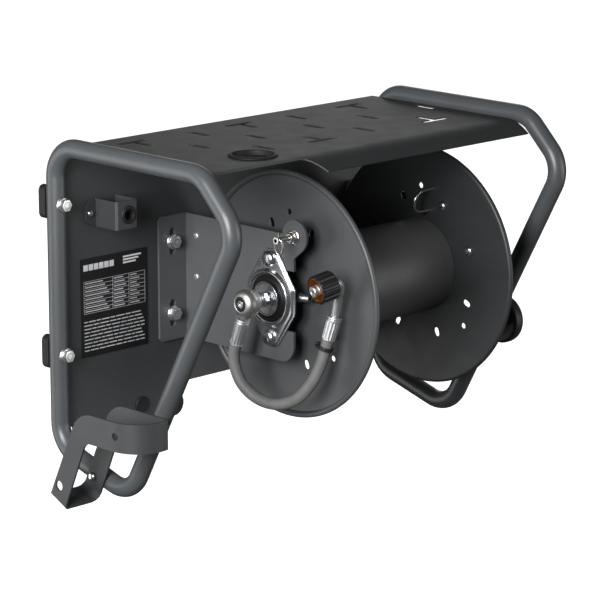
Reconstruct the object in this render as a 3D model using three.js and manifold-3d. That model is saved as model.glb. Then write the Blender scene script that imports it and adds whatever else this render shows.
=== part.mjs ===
// Wall-mounted high-pressure hose reel: two bent tube side frames, a sheet-metal back panel and shelf,
// a drum between two discs on a hollow shaft, a swivel inlet with its jumper hose, a lock pin, a crank
// and two holders for the lance and the wand. Millimetres, +X along the drum, +Y to the wall, +Z up.
// The origin lies on the wall plane, in the middle of the four wall pads.
import * as THREE from 'three';
import { mergeVertices } from 'three/addons/utils/BufferGeometryUtils.js';
import Module from 'manifold-3d';

const wasm = await Module();
wasm.setup();

// ---------------------------------------------------------------- driving dimensions
const GAP = 0.3;                    // left between pieces that touch
const FRAME_SPACING = 510;          // between the planes of the two side frames
const TUBE_RADIUS = 10.65;          // half-inch pipe
const TUBE_BEND = 36;               // bend radius on the centreline
const WALL_STANDOFF = 22;           // wall to the axis of the rear legs
const FRAME_TOP = 150;              // height of the upper run's axis above the origin
const SHEET = 2.5;                  // panel thickness
const SHELF_SHEET = 1.5;
const BRACKET_SHEET = 3;            // bearing bracket thickness
const REEL_CENTRE_X = 67;           // middle of the drum
const DISC_SPACING = 213;
const DISC_RADIUS = 141.5;
const DISC_SHEET = 2;
const DRUM_RADIUS = 55;
const SHAFT_RADIUS = 15;
const AXIS_FROM_LEGS = 145;         // drum axis in front of the rear legs
const AXIS_Z = -27.5;
const PLATE_TO_DISC = 27;           // bearing plate's outer face to the disc
const BEARING_BOLT_SPACING = 90;
const LOCK_RADIUS = 82;             // lock pin and lock slots from the drum axis
const LOCK_STEP = 45;               // degrees between lock slots
const LOCK_PHASE = 64.7;            // degrees from the front, upwards, to the pin
const HOSE_RADIUS = 6.7;
const CRANK_RADIUS = 88;
const CRANK_ANGLE = -82;            // degrees from the front, upwards, at rest
const PAD_HALF_PITCH = 85;          // wall pads above and below the origin
const M8_HOLE = 4.4;                // radius of the clearance hole for an M8 bolt
const BEARING_HOLE = 5.3;           // radius of the bearing bolts' holes

// ---------------------------------------------------------------- places worked out from them
const LEG_Y = -WALL_STANDOFF;
const FRAME_X = FRAME_SPACING / 2;
const INNER_X = FRAME_X - TUBE_RADIUS - GAP;
const AXIS_Y = LEG_Y - AXIS_FROM_LEGS;
const LEFT_DISC_X = REEL_CENTRE_X - DISC_SPACING / 2;
const RIGHT_DISC_X = REEL_CENTRE_X + DISC_SPACING / 2;
const LEFT_PLATE_X = LEFT_DISC_X - PLATE_TO_DISC;
const PANEL_FRONT_Y = LEG_Y + 1;
const SHELF_TOP_Z = FRAME_TOP - 5;
const SHELF_BOTTOM_Z = SHELF_TOP_Z - SHELF_SHEET;

// ---------------------------------------------------------------- materials
const paint = (color, roughness, metalness) => new THREE.MeshStandardMaterial({ color, roughness, metalness });
const COLOURS = {
  tube: [0x565b5e, 0.5, 0.3],
  sheet: [0x4a4d4f, 0.6, 0.3],
  drum: [0x3c3c3e, 0.6, 0.3],
  rubber: [0x161616, 0.8, 0],
  label: [0x1c1c1e, 0.5, 0],
  zinc: [0xc9cdd0, 0.3, 0.9],
  steel: [0xb8b4ae, 0.3, 0.9],
  aluminium: [0xbdbab5, 0.45, 0.8],
  brass: [0xb5651d, 0.35, 0.8],
  hose: [0x7a7a78, 0.7, 0],
  plastic: [0x1a1a1a, 0.5, 0],
};

const model = new THREE.Group();

// ---------------------------------------------------------------- solids
// Turns a closed three.js geometry into a manifold solid: merged vertices, no slivers, faces outwards.
function solid(geometry, matrix) {
  const copy = geometry.clone();
  copy.deleteAttribute('normal');
  copy.deleteAttribute('uv');
  if (matrix) copy.applyMatrix4(matrix);
  const merged = mergeVertices(copy, 1e-3);
  const positions = merged.attributes.position.array;
  const index = merged.index.array;
  const triangles = [];
  let volume = 0;
  const corner = [new THREE.Vector3(), new THREE.Vector3(), new THREE.Vector3()];
  for (let i = 0; i < index.length; i += 3) {
    const [a, b, c] = [index[i], index[i + 1], index[i + 2]];
    if (a === b || b === c || c === a) continue;
    triangles.push(a, b, c);
    [a, b, c].forEach((vertex, k) => corner[k].fromArray(positions, vertex * 3));
    volume += corner[0].dot(corner[1].clone().cross(corner[2]));
  }
  if (volume < 0) {
    for (let i = 0; i < triangles.length; i += 3) {
      [triangles[i + 1], triangles[i + 2]] = [triangles[i + 2], triangles[i + 1]];
    }
  }
  const mesh = new wasm.Mesh({
    numProp: 3,
    vertProperties: Float32Array.from(positions),
    triVerts: Uint32Array.from(triangles),
  });
  return new wasm.Manifold(mesh);
}

function union(...solids) {
  return solids.reduce((whole, next) => whole.add(next));
}

// Adds one named sub-part to the model.
function addPart(name, shape, colour) {
  const mesh = shape.getMesh();
  const geometry = new THREE.BufferGeometry();
  geometry.setAttribute('position', new THREE.BufferAttribute(Float32Array.from(mesh.vertProperties), 3));
  geometry.setIndex(Array.from(mesh.triVerts));
  geometry.computeVertexNormals();
  const part = new THREE.Mesh(geometry, paint(...COLOURS[colour]));
  part.name = name;
  model.add(part);
}

// A flat outline with optional holes, given as [u, v] points, rounded corners as [u, v, radius].
function outline(points, holes = []) {
  const shape = new THREE.Shape(roundedCorners(points));
  holes.forEach((hole) => shape.holes.push(new THREE.Path(hole)));
  return shape;
}

// Short arcs get one chord, small ones steps of 30 degrees, large ones 15.
function roundedCorners(points) {
  const result = [];
  points.forEach((point, i) => {
    const radius = point[2] ?? 0;
    const here = new THREE.Vector2(point[0], point[1]);
    if (!radius) {
      result.push(here);
      return;
    }
    const before = points[(i + points.length - 1) % points.length];
    const after = points[(i + 1) % points.length];
    const back = new THREE.Vector2(before[0], before[1]).sub(here).normalize();
    const ahead = new THREE.Vector2(after[0], after[1]).sub(here).normalize();
    const half = Math.acos(THREE.MathUtils.clamp(back.dot(ahead), -1, 1)) / 2;
    const middle = back.clone().add(ahead).normalize().multiplyScalar(radius / Math.sin(half)).add(here);
    const start = here.clone().addScaledVector(back, radius / Math.tan(half)).sub(middle);
    const end = here.clone().addScaledVector(ahead, radius / Math.tan(half)).sub(middle);
    let turn = end.angle() - start.angle();
    if (turn > Math.PI) turn -= 2 * Math.PI;
    if (turn < -Math.PI) turn += 2 * Math.PI;
    const finest = radius < 12 ? Math.PI / 6 : Math.PI / 12;
    const steps = radius < 5 ? 1 : Math.ceil(Math.abs(turn) / finest);
    for (let k = 0; k <= steps; k += 1) {
      result.push(start.clone().rotateAround(new THREE.Vector2(), (turn * k) / steps).add(middle));
    }
  });
  return result;
}

function circle(u, v, radius, sides = 10) {
  const points = [];
  for (let i = 0; i < sides; i += 1) {
    const angle = (2 * Math.PI * i) / sides;
    points.push(new THREE.Vector2(u + radius * Math.cos(angle), v + radius * Math.sin(angle)));
  }
  return points;
}

function slab(shape, depth) {
  return new THREE.ExtrudeGeometry(shape, { depth, bevelEnabled: false, steps: 1, curveSegments: 8 });
}

// Outline in (y, z), from x = from to x = to.
function alongX(shape, from, to) {
  const axes = new THREE.Matrix4().makeBasis(
    new THREE.Vector3(0, 1, 0),
    new THREE.Vector3(0, 0, 1),
    new THREE.Vector3(1, 0, 0),
  );
  return solid(slab(shape, to - from), new THREE.Matrix4().makeTranslation(from, 0, 0).multiply(axes));
}

// Outline in (x, z), from y = front to y = rear; the front is the smaller.
function alongY(shape, front, rear) {
  const axes = new THREE.Matrix4().makeBasis(
    new THREE.Vector3(1, 0, 0),
    new THREE.Vector3(0, 0, 1),
    new THREE.Vector3(0, -1, 0),
  );
  return solid(slab(shape, rear - front), new THREE.Matrix4().makeTranslation(0, rear, 0).multiply(axes));
}

// Outline in (x, y), from z = low to z = high.
function alongZ(shape, low, high) {
  return solid(slab(shape, high - low), new THREE.Matrix4().makeTranslation(0, 0, low));
}

function box(x0, x1, y0, y1, z0, z1) {
  const geometry = new THREE.BoxGeometry(x1 - x0, y1 - y0, z1 - z0);
  const centre = [(x0 + x1) / 2, (y0 + y1) / 2, (z0 + z1) / 2];
  return solid(geometry, new THREE.Matrix4().makeTranslation(...centre));
}

// A turned solid: profile points are [radius, distance along direction], from base.
function turned(profile, base, direction, sides = 16) {
  const points = profile.map(([radius, along]) => new THREE.Vector2(radius, along));
  const geometry = new THREE.LatheGeometry([...points, points[0]], sides);
  const turn = new THREE.Quaternion().setFromUnitVectors(
    new THREE.Vector3(0, 1, 0),
    direction.clone().normalize(),
  );
  const matrix = new THREE.Matrix4().compose(base, turn, new THREE.Vector3(1, 1, 1));
  return solid(geometry, matrix);
}

const X_AXIS = new THREE.Vector3(1, 0, 0);
const MINUS_X = new THREE.Vector3(-1, 0, 0);
const TO_WALL = new THREE.Vector3(0, 1, 0);

// A ring or a disc turned about the X direction, between two x positions.
function ringX(x0, x1, y, z, outer, inner = 0, sides = 16) {
  const profile = [[inner, 0], [outer, 0], [outer, x1 - x0], [inner, x1 - x0]];
  return turned(profile, new THREE.Vector3(x0, y, z), X_AXIS, sides);
}

// A hexagonal bar, across its flats.
function prism(across, length, base, direction) {
  const radius = across / Math.sqrt(3);
  return turned([[0, 0], [radius, 0], [radius, length], [0, length]], base, direction, 6);
}

// A path through chosen stations, each with its own tangent, for a tube swept along straights and bends.
class StationPath extends THREE.Curve {
  constructor(stations) {
    super();
    this.stations = stations;
  }

  getPoint(t, target = new THREE.Vector3()) {
    const place = THREE.MathUtils.clamp(t, 0, 1) * (this.stations.length - 1);
    const first = Math.min(Math.floor(place), this.stations.length - 2);
    return target.lerpVectors(this.stations[first].point, this.stations[first + 1].point, place - first);
  }

  getPointAt(u, target) {
    return this.getPoint(u, target);
  }

  getTangentAt(u) {
    const nearest = Math.round(u * (this.stations.length - 1));
    return this.stations[nearest].tangent.clone();
  }
}

// Stations along a polyline whose corners are rounded to a bend radius.
function bentStations(corners, radius, stepsPerBend) {
  const stations = [];
  const add = (point, tangent) => stations.push({ point: point.clone(), tangent: tangent.clone() });
  for (let i = 0; i < corners.length; i += 1) {
    const here = corners[i];
    const before = corners[i - 1];
    const after = corners[i + 1];
    if (!before || !after) {
      const direction = before ? here.clone().sub(before) : after.clone().sub(here);
      add(here, direction.normalize());
      continue;
    }
    const arriving = here.clone().sub(before).normalize();
    const leaving = after.clone().sub(here).normalize();
    const turn = arriving.angleTo(leaving);
    const start = here.clone().addScaledVector(arriving, -radius * Math.tan(turn / 2));
    const normal = arriving.clone().cross(leaving).normalize();
    const toCentre = normal.clone().cross(arriving).multiplyScalar(radius);
    const centre = start.clone().add(toCentre);
    for (let k = 0; k <= stepsPerBend; k += 1) {
      const angle = (turn * k) / stepsPerBend;
      const arm = toCentre.clone().negate().applyAxisAngle(normal, angle);
      add(centre.clone().add(arm), arriving.clone().applyAxisAngle(normal, angle));
    }
  }
  return stations;
}

// A round rod swept along stations.
function sweptRod(stations, radius, sides) {
  const section = new THREE.Shape(circle(0, 0, radius, sides));
  const geometry = new THREE.ExtrudeGeometry(section, {
    steps: stations.length - 1,
    bevelEnabled: false,
    extrudePath: new StationPath(stations),
  });
  return solid(geometry);
}

const point = (x, y, z) => new THREE.Vector3(x, y, z);
const radians = THREE.MathUtils.degToRad;

// A place in the reel's own plane: radius from the drum axis, angle from the front, upwards.
const onReel = (radius, degrees) => [
  AXIS_Y - radius * Math.cos(radians(degrees)),
  AXIS_Z + radius * Math.sin(radians(degrees)),
];

// ---------------------------------------------------------------- side frames
// Corner points of the tube's centreline in (y, z), as sharp corners before bending.
const FRAME_CORNERS = {
  rearTop: [LEG_Y, FRAME_TOP],
  frontTop: [LEG_Y - 236, FRAME_TOP],
  front: [LEG_Y - 290, FRAME_TOP - 54],
  bottom: [LEG_Y - 118, FRAME_TOP - 373.5],
  rearBottom: [LEG_Y, FRAME_TOP - 339.5],
};

// One bent tube, closed by a butt weld halfway up the rear leg.
function sideFrame(name, x) {
  const { rearTop, frontTop, front, bottom, rearBottom } = FRAME_CORNERS;
  const route = [[LEG_Y, GAP / 2], rearTop, frontTop, front, bottom, rearBottom, [LEG_Y, -GAP / 2]];
  const stations = bentStations(route.map(([y, z]) => point(x, y, z)), TUBE_BEND, 5);
  const tube = sweptRod(stations, TUBE_RADIUS, 12);
  const boltHoles = [-1, 1].map((side) => {
    const base = point(x, LEG_Y - TUBE_RADIUS - 5, side * PAD_HALF_PITCH);
    return turned([[0, 0], [4.5, 0], [4.5, 40], [0, 40]], base, TO_WALL, 8);
  });
  addPart(name, tube.subtract(boltHoles[0]).subtract(boltHoles[1]), 'tube');
}

sideFrame('left_frame', -FRAME_X);
sideFrame('right_frame', FRAME_X);

// ---------------------------------------------------------------- wall pads and their bolts
// A hex-flange bolt: the head's base at the given place, the shank the other way.
function flangeBolt(base, direction, shank, size = 8) {
  const outward = direction.clone().negate();
  const flange = turned([[0, 0], [size * 1.1, 0], [size * 1.05, 1.3], [size * 0.78, 2.6], [0, 2.6]],
    base, outward, 10);
  const hex = prism(size * 1.6, size * 0.95, base.clone().addScaledVector(outward, 0.5), outward);
  const rod = turned([[0, 0], [size / 2, 0], [size / 2, shank + 1], [0, shank + 1]],
    base.clone().addScaledVector(outward, 1), direction, 8);
  return union(flange, hex, rod);
}

function wallPads() {
  const [halfWidth, halfHeight, corner] = [7, 19, 6.5];
  const padFront = LEG_Y + TUBE_RADIUS + GAP;
  [['left', -FRAME_X], ['right', FRAME_X]].forEach(([side, x]) => {
    [['top', PAD_HALF_PITCH], ['bottom', -PAD_HALF_PITCH]].forEach(([level, z]) => {
      const shape = outline([
        [x - halfWidth, z - halfHeight, corner],
        [x + halfWidth, z - halfHeight, corner],
        [x + halfWidth, z + halfHeight, corner],
        [x - halfWidth, z + halfHeight, corner],
      ], [circle(x, z, M8_HOLE, 12)]);
      addPart(`wall_pad_${side}_${level}`, alongY(shape, padFront, 0), 'rubber');
      const seat = point(x, LEG_Y - TUBE_RADIUS - GAP, z);
      addPart(`wall_bolt_${side}_${level}`, flangeBolt(seat, TO_WALL, 2 * TUBE_RADIUS + 8), 'zinc');
    });
  });
}

wallPads();

// ---------------------------------------------------------------- shelf
const SHELF_BEND_Y = LEG_Y - 212;           // where the front edge starts to curve down
const SHELF_BEND_RADIUS = 50;
const SHELF_BEND_ANGLE = 37.5;
const SHELF_LIP = 5.5;                      // flat part of the lip after the bend
const SHELF_REAR_Y = PANEL_FRONT_Y + SHEET;
const GROMMET = { x: -126, y: LEG_Y - 177, hole: 24 };
const SLOT_WIDTH = 8.5;
const SLOT_LENGTH = 35;
const T_BAR = 46;
const SLOT_ROWS = [LEG_Y - 39, LEG_Y - 96, LEG_Y - 150];
const CUT_BACK = { y: LEG_Y - 221, corner: -95, foot: -71 };
// Slots in each row: [x, bar], where the bar of a T is at the rear (1), at the front (-1) or absent (0).
const SLOTS = [
  [[-165, 1], [-79, 0], [-4, 1], [74, 0], [174, 1]],
  [[-130, 0], [-45, 0], [46, 0], [134, 0], [232, 0]],
  [[-84, 0], [-6, -1], [73, 0], [176, -1]],
];

function shelfProfile() {
  const points = [[SHELF_REAR_Y, SHELF_BOTTOM_Z], [SHELF_REAR_Y, SHELF_TOP_Z]];
  const centreZ = SHELF_TOP_Z - SHELF_BEND_RADIUS;
  const along = (radius, degrees) => [
    SHELF_BEND_Y - radius * Math.sin(radians(degrees)),
    centreZ + radius * Math.cos(radians(degrees)),
  ];
  const inner = SHELF_BEND_RADIUS - SHELF_SHEET;
  const lip = [Math.cos, Math.sin].map((part) => -SHELF_LIP * part(radians(SHELF_BEND_ANGLE)));
  for (let degrees = 0; degrees <= SHELF_BEND_ANGLE; degrees += 7.5) points.push(along(SHELF_BEND_RADIUS, degrees));
  const outerEnd = points[points.length - 1];
  points.push([outerEnd[0] + lip[0], outerEnd[1] + lip[1]]);
  const innerEnd = along(inner, SHELF_BEND_ANGLE);
  points.push([innerEnd[0] + lip[0], innerEnd[1] + lip[1]]);
  for (let degrees = SHELF_BEND_ANGLE; degrees >= 0; degrees -= 7.5) points.push(along(inner, degrees));
  return points;
}

function shelf() {
  const sheet = alongX(outline(shelfProfile()), -INNER_X, INNER_X);
  const [low, high] = [SHELF_BOTTOM_Z - 1, SHELF_TOP_Z + 1];
  const end = SLOT_WIDTH / 2 - 0.1;
  const slot = (x, y, halfX, halfY) => {
    const corners = [[-1, -1], [1, -1], [1, 1], [-1, 1]].map(([u, v]) => [x + u * halfX, y + v * halfY, end]);
    return alongZ(outline(corners), low, high);
  };
  const hole = new THREE.Shape(circle(GROMMET.x, GROMMET.y, GROMMET.hole, 24));
  const cuts = [alongZ(hole, low, high)];
  SLOTS.forEach((row, i) => {
    row.forEach(([x, bar]) => {
      const y = SLOT_ROWS[i];
      const [halfWidth, halfLength] = [SLOT_WIDTH / 2, SLOT_LENGTH / 2];
      cuts.push(slot(x, y, halfWidth, halfLength));
      if (bar) cuts.push(slot(x, y + bar * (halfLength - halfWidth), T_BAR / 2, halfWidth));
    });
  });
  // The lip is cut back over the swivel, with a sloping shoulder.
  const cutBack = outline([
    [-INNER_X - 1, LEG_Y - 300],
    [-INNER_X - 1, CUT_BACK.y],
    [CUT_BACK.corner, CUT_BACK.y, 8],
    [CUT_BACK.foot, LEG_Y - 262],
    [CUT_BACK.foot, LEG_Y - 300],
  ]);
  cuts.push(alongZ(cutBack, SHELF_TOP_Z - 60, SHELF_TOP_Z + 1));
  addPart('top_shelf', cuts.reduce((rest, cut) => rest.subtract(cut), sheet), 'sheet');
  const bore = GROMMET.hole - 1.8;
  const ring = [
    [bore, -SHELF_SHEET - 2.5],
    [GROMMET.hole + 2.5, -SHELF_SHEET - 2.5],
    [GROMMET.hole + 2.5, -SHELF_SHEET - GAP],
    [GROMMET.hole - 2 * GAP, -SHELF_SHEET - GAP],
    [GROMMET.hole - 2 * GAP, GAP],
    [GROMMET.hole + 3.5, GAP],
    [GROMMET.hole + 2.5, 2.3],
    [bore, 2.3],
  ];
  const seat = point(GROMMET.x, GROMMET.y, SHELF_TOP_Z);
  addPart('shelf_grommet', turned(ring, seat, point(0, 0, 1), 20), 'rubber');
}

shelf();

// ---------------------------------------------------------------- back panel
const PANEL_BOTTOM_Z = FRAME_TOP - 302;
const TAB_BOTTOM_Z = FRAME_TOP - 335;
const PANEL_PLUG = { x: -134, z: FRAME_TOP - 317, hole: 7 };
const BRACKET_BOLT_Z = [FRAME_TOP - 133, FRAME_TOP - 217];
const FLANGE_BOLT = 21;             // bracket bolts' line to the plate's outer face
const LEFT_BOLT_X = LEFT_PLATE_X - FLANGE_BOLT;
const RIGHT_PLATE_X = 2 * REEL_CENTRE_X - LEFT_PLATE_X;
const RIGHT_BOLT_X = RIGHT_PLATE_X + FLANGE_BOLT;
const TAB_RIGHT_X = -77;
const BUMPER = { x: -80, z: FRAME_TOP - 328, radius: 14.5, studX: -90 };
const CLIP_SCREW = { x: -208, z: FRAME_TOP - 83, hole: 2.4 };
const LABEL = { left: -222, right: -124, top: 16, bottom: -97, thickness: 0.6 };
const BUMPER_DEPTH = 11.5;

function backPanel() {
  const shape = outline([
    [-INNER_X, SHELF_BOTTOM_Z - GAP],
    [-INNER_X, TAB_BOTTOM_Z, 30],
    [TAB_RIGHT_X, TAB_BOTTOM_Z, 12],
    [TAB_RIGHT_X, PANEL_BOTTOM_Z],
    [INNER_X, PANEL_BOTTOM_Z, 20],
    [INNER_X, SHELF_BOTTOM_Z - GAP],
  ], [
    circle(PANEL_PLUG.x, PANEL_PLUG.z, PANEL_PLUG.hole, 16),
    circle(BUMPER.studX, BUMPER.z, 3.2, 12),
    circle(CLIP_SCREW.x, CLIP_SCREW.z, CLIP_SCREW.hole, 12),
    ...BRACKET_BOLT_Z.flatMap((z) => [LEFT_BOLT_X, RIGHT_BOLT_X].map((x) => circle(x, z, M8_HOLE, 12))),
  ]);
  addPart('back_panel', alongY(shape, PANEL_FRONT_Y, PANEL_FRONT_Y + SHEET), 'sheet');
  const [lip, stem] = [PANEL_PLUG.hole + 2.5, PANEL_PLUG.hole - GAP];
  const plug = [[0, 0], [lip - 1, 0], [lip, 0.8], [lip, 2], [stem, 2], [stem, 3 + SHEET], [0, 3 + SHEET]];
  const seat = point(PANEL_PLUG.x, PANEL_FRONT_Y - 2 - GAP, PANEL_PLUG.z);
  addPart('panel_plug', turned(plug, seat, TO_WALL, 16), 'rubber');
  const { left, right, top, bottom, thickness } = LABEL;
  const label = outline([[left, top], [left, bottom], [right, bottom], [right, top]]);
  addPart('label_plate', alongY(label, PANEL_FRONT_Y - GAP - thickness, PANEL_FRONT_Y - GAP), 'label');
  const rim = BUMPER.radius;
  const bumper = turned([
    [0, 0], [rim - 1.5, 0], [rim, 1.5], [rim, BUMPER_DEPTH - 1.5], [rim - 1.5, BUMPER_DEPTH], [0, BUMPER_DEPTH],
  ], point(BUMPER.x, PANEL_FRONT_Y + SHEET + GAP, BUMPER.z), TO_WALL, 18);
  const stud = turned([[0, 0], [2.8, 0], [2.8, 6], [0, 6]],
    point(BUMPER.studX, PANEL_FRONT_Y - 2, BUMPER.z), TO_WALL, 8);
  addPart('tab_bumper', bumper.add(stud), 'rubber');
}

backPanel();

// ---------------------------------------------------------------- bearing brackets
const FLANGE_WIDTH = 41;
const SLOT_HALF = 17;               // half the length of the flange's slots
const BRACKET_TOP_Z = FRAME_TOP - 102.5;
const BRACKET_BOTTOM_Z = FRAME_TOP - 248.5;
const PLATE_FRONT_Y = LEG_Y - 179;
const NOTCH_HALF = 34.5;
const EAR_RADIUS = 19;
const [PIN_Y, PIN_Z] = onReel(LOCK_RADIUS, LOCK_PHASE);
const PIN_HOLE = 5.2;

// Outline of a bearing plate, with the half-round notch that lets the shaft in from the front.
function bracketPlateShape(withEar) {
  const rear = PANEL_FRONT_Y - GAP;
  const notch = [];
  for (let degrees = -90; degrees <= 90; degrees += 15) {
    notch.push([
      AXIS_Y + NOTCH_HALF * Math.cos(radians(degrees)),
      AXIS_Z + NOTCH_HALF * Math.sin(radians(degrees)),
    ]);
  }
  return [
    [rear, BRACKET_TOP_Z],
    [rear, BRACKET_BOTTOM_Z],
    [PLATE_FRONT_Y, BRACKET_BOTTOM_Z, 20],
    [PLATE_FRONT_Y, AXIS_Z - NOTCH_HALF],
    ...notch,
    [PLATE_FRONT_Y, AXIS_Z + NOTCH_HALF],
    [PLATE_FRONT_Y, BRACKET_TOP_Z - 24],
    [PLATE_FRONT_Y + (withEar ? 0 : 14), BRACKET_TOP_Z],
  ];
}

// The plate stands square to the panel, and its flange is bolted to the panel. side is -1 or +1.
function bearingBracket(name, plateX, side, withEar) {
  const inner = plateX - side * BRACKET_SHEET;
  const [x0, x1] = [Math.min(plateX, inner), Math.max(plateX, inner)];
  const rear = PANEL_FRONT_Y - GAP;
  let plate = alongX(outline(bracketPlateShape(withEar)), x0, x1);
  if (withEar) {
    const ear = ringX(x0, x1, PIN_Y, PIN_Z, EAR_RADIUS, 0, 24);
    const neck = outline([
      [PIN_Y - EAR_RADIUS * 0.72, PIN_Z - EAR_RADIUS * 0.7],
      [PLATE_FRONT_Y, BRACKET_TOP_Z - 26],
      [PLATE_FRONT_Y + 14, BRACKET_TOP_Z - 26],
      [PIN_Y + EAR_RADIUS * 0.9, PIN_Z - 2],
    ]);
    const hole = ringX(x0 - 1, x1 + 1, PIN_Y, PIN_Z, PIN_HOLE, 0, 12);
    plate = union(plate, ear, alongX(neck, x0, x1)).subtract(hole);
  }
  const farX = plateX + side * FLANGE_WIDTH;
  const boltX = plateX + side * FLANGE_BOLT;
  const slots = BRACKET_BOLT_Z.map((z) => roundedCorners([
    [boltX - M8_HOLE, z - SLOT_HALF, M8_HOLE - 0.1],
    [boltX + M8_HOLE, z - SLOT_HALF, M8_HOLE - 0.1],
    [boltX + M8_HOLE, z + SLOT_HALF, M8_HOLE - 0.1],
    [boltX - M8_HOLE, z + SLOT_HALF, M8_HOLE - 0.1],
  ]));
  const flange = outline([
    [farX, BRACKET_TOP_Z, 4],
    [inner, BRACKET_TOP_Z],
    [inner, BRACKET_BOTTOM_Z],
    [farX, BRACKET_BOTTOM_Z, 4],
  ], slots);
  let body = plate.add(alongY(flange, rear - BRACKET_SHEET, rear));
  [-1, 1].forEach((end) => {
    const z = AXIS_Z + (end * BEARING_BOLT_SPACING) / 2;
    body = body.subtract(ringX(x0 - 1, x1 + 1, AXIS_Y, z, BEARING_HOLE, 0, 12));
  });
  addPart(name, body, 'sheet');
}

bearingBracket('left_bracket', LEFT_PLATE_X, -1, true);
bearingBracket('right_bracket', RIGHT_PLATE_X, 1, false);

// The brackets' bolts, with their nuts behind the panel.
[['left', LEFT_BOLT_X], ['right', RIGHT_BOLT_X]].forEach(([side, x]) => {
  BRACKET_BOLT_Z.forEach((z, i) => {
    const seat = point(x, PANEL_FRONT_Y - 2 * GAP - BRACKET_SHEET, z);
    const bolt = flangeBolt(seat, TO_WALL, BRACKET_SHEET + SHEET + 10);
    const nut = prism(13, 6.5, point(x, PANEL_FRONT_Y + SHEET + GAP, z), TO_WALL);
    addPart(`bracket_bolt_${side}_${i ? 'lower' : 'upper'}`, bolt.add(nut), 'zinc');
  });
});

// ---------------------------------------------------------------- flange bearings
const HOUSING_PLATE = 4.6;
const HOUSING_DEPTH = 8.5;          // from the bracket plate to the rolled edge
const HOUSING_RING = 32.5;
const HOUSING_BORE = 27;

// Pressed lozenge flange with a raised ring, the sealed insert in it and its two bolts. out is -1 or +1.
function flangeBearing(side, plateX, out) {
  const seat = point(plateX + out * GAP, AXIS_Y, AXIS_Z);
  const direction = point(out, 0, 0);
  const tip = BEARING_BOLT_SPACING / 2;
  const lozenge = [
    [AXIS_Y - 9, AXIS_Z + tip + 11, 9],
    [AXIS_Y - 38, AXIS_Z + 14, 9],
    [AXIS_Y - 38, AXIS_Z - 14, 9],
    [AXIS_Y - 9, AXIS_Z - tip - 11, 9],
    [AXIS_Y + 9, AXIS_Z - tip - 11, 9],
    [AXIS_Y + 38, AXIS_Z - 14, 9],
    [AXIS_Y + 38, AXIS_Z + 14, 9],
    [AXIS_Y + 9, AXIS_Z + tip + 11, 9],
  ];
  const [x0, x1] = [seat.x, seat.x + out * HOUSING_PLATE].sort((a, b) => a - b);
  let body = alongX(outline(lozenge), x0, x1);
  const innerLedge = HOUSING_DEPTH - 2;
  const ring = turned([
    [HOUSING_BORE, 0],
    [HOUSING_RING + 2, 0],
    [HOUSING_RING + 2, HOUSING_PLATE],
    [HOUSING_RING, HOUSING_PLATE + 2],
    [HOUSING_RING - 0.8, HOUSING_DEPTH],
    [HOUSING_RING - 3.2, HOUSING_DEPTH],
    [HOUSING_RING - 4, innerLedge],
    [HOUSING_BORE, innerLedge],
  ], seat, direction, 20);
  body = body.add(ring).subtract(ringX(x0 - 20, x1 + 20, AXIS_Y, AXIS_Z, HOUSING_BORE, 0, 20));
  [-1, 1].forEach((end) => {
    body = body.subtract(ringX(x0 - 1, x1 + 1, AXIS_Y, AXIS_Z + end * tip, BEARING_HOLE, 0, 12));
  });
  addPart(`${side}_bearing_housing`, body, 'zinc');
  const insert = turned([
    [SHAFT_RADIUS + GAP, -7], [HOUSING_BORE - GAP, -7], [HOUSING_BORE - GAP, 6], [HOUSING_BORE - 2, 7.5],
    [SHAFT_RADIUS + GAP, 7.5],
  ], seat, direction, 20);
  addPart(`${side}_bearing_insert`, insert, 'rubber');
  [['upper', 1], ['lower', -1]].forEach(([level, end]) => {
    const z = AXIS_Z + end * tip;
    const base = point(plateX + out * (HOUSING_PLATE + 2 * GAP), AXIS_Y, z);
    const dome = turned([[0, 0], [9.2, 0], [8.7, 2.2], [6, 4.6], [0, 5.6]], base, direction, 12);
    const shank = turned([[0, -14], [4.6, -14], [4.6, 1], [0, 1]], base, direction, 8);
    const innerFace = plateX - out * (BRACKET_SHEET + GAP);
    const nut = prism(16, 5, point(innerFace, AXIS_Y, z), direction.clone().negate());
    addPart(`${side}_bearing_bolt_${level}`, union(dome, shank, nut), 'zinc');
  });
}

flangeBearing('left', LEFT_PLATE_X, -1);
flangeBearing('right', RIGHT_PLATE_X, 1);

// ---------------------------------------------------------------- reel
const BEAD = 3.4;                   // radius of the rolled rim
const LOCK_SLOT = { length: 11, width: 7 };
const TIE_RADIUS = 93.5;            // small tie holes and the hose clamp's outer end
const TIE_ANGLES = [90, -42, 222];

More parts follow.
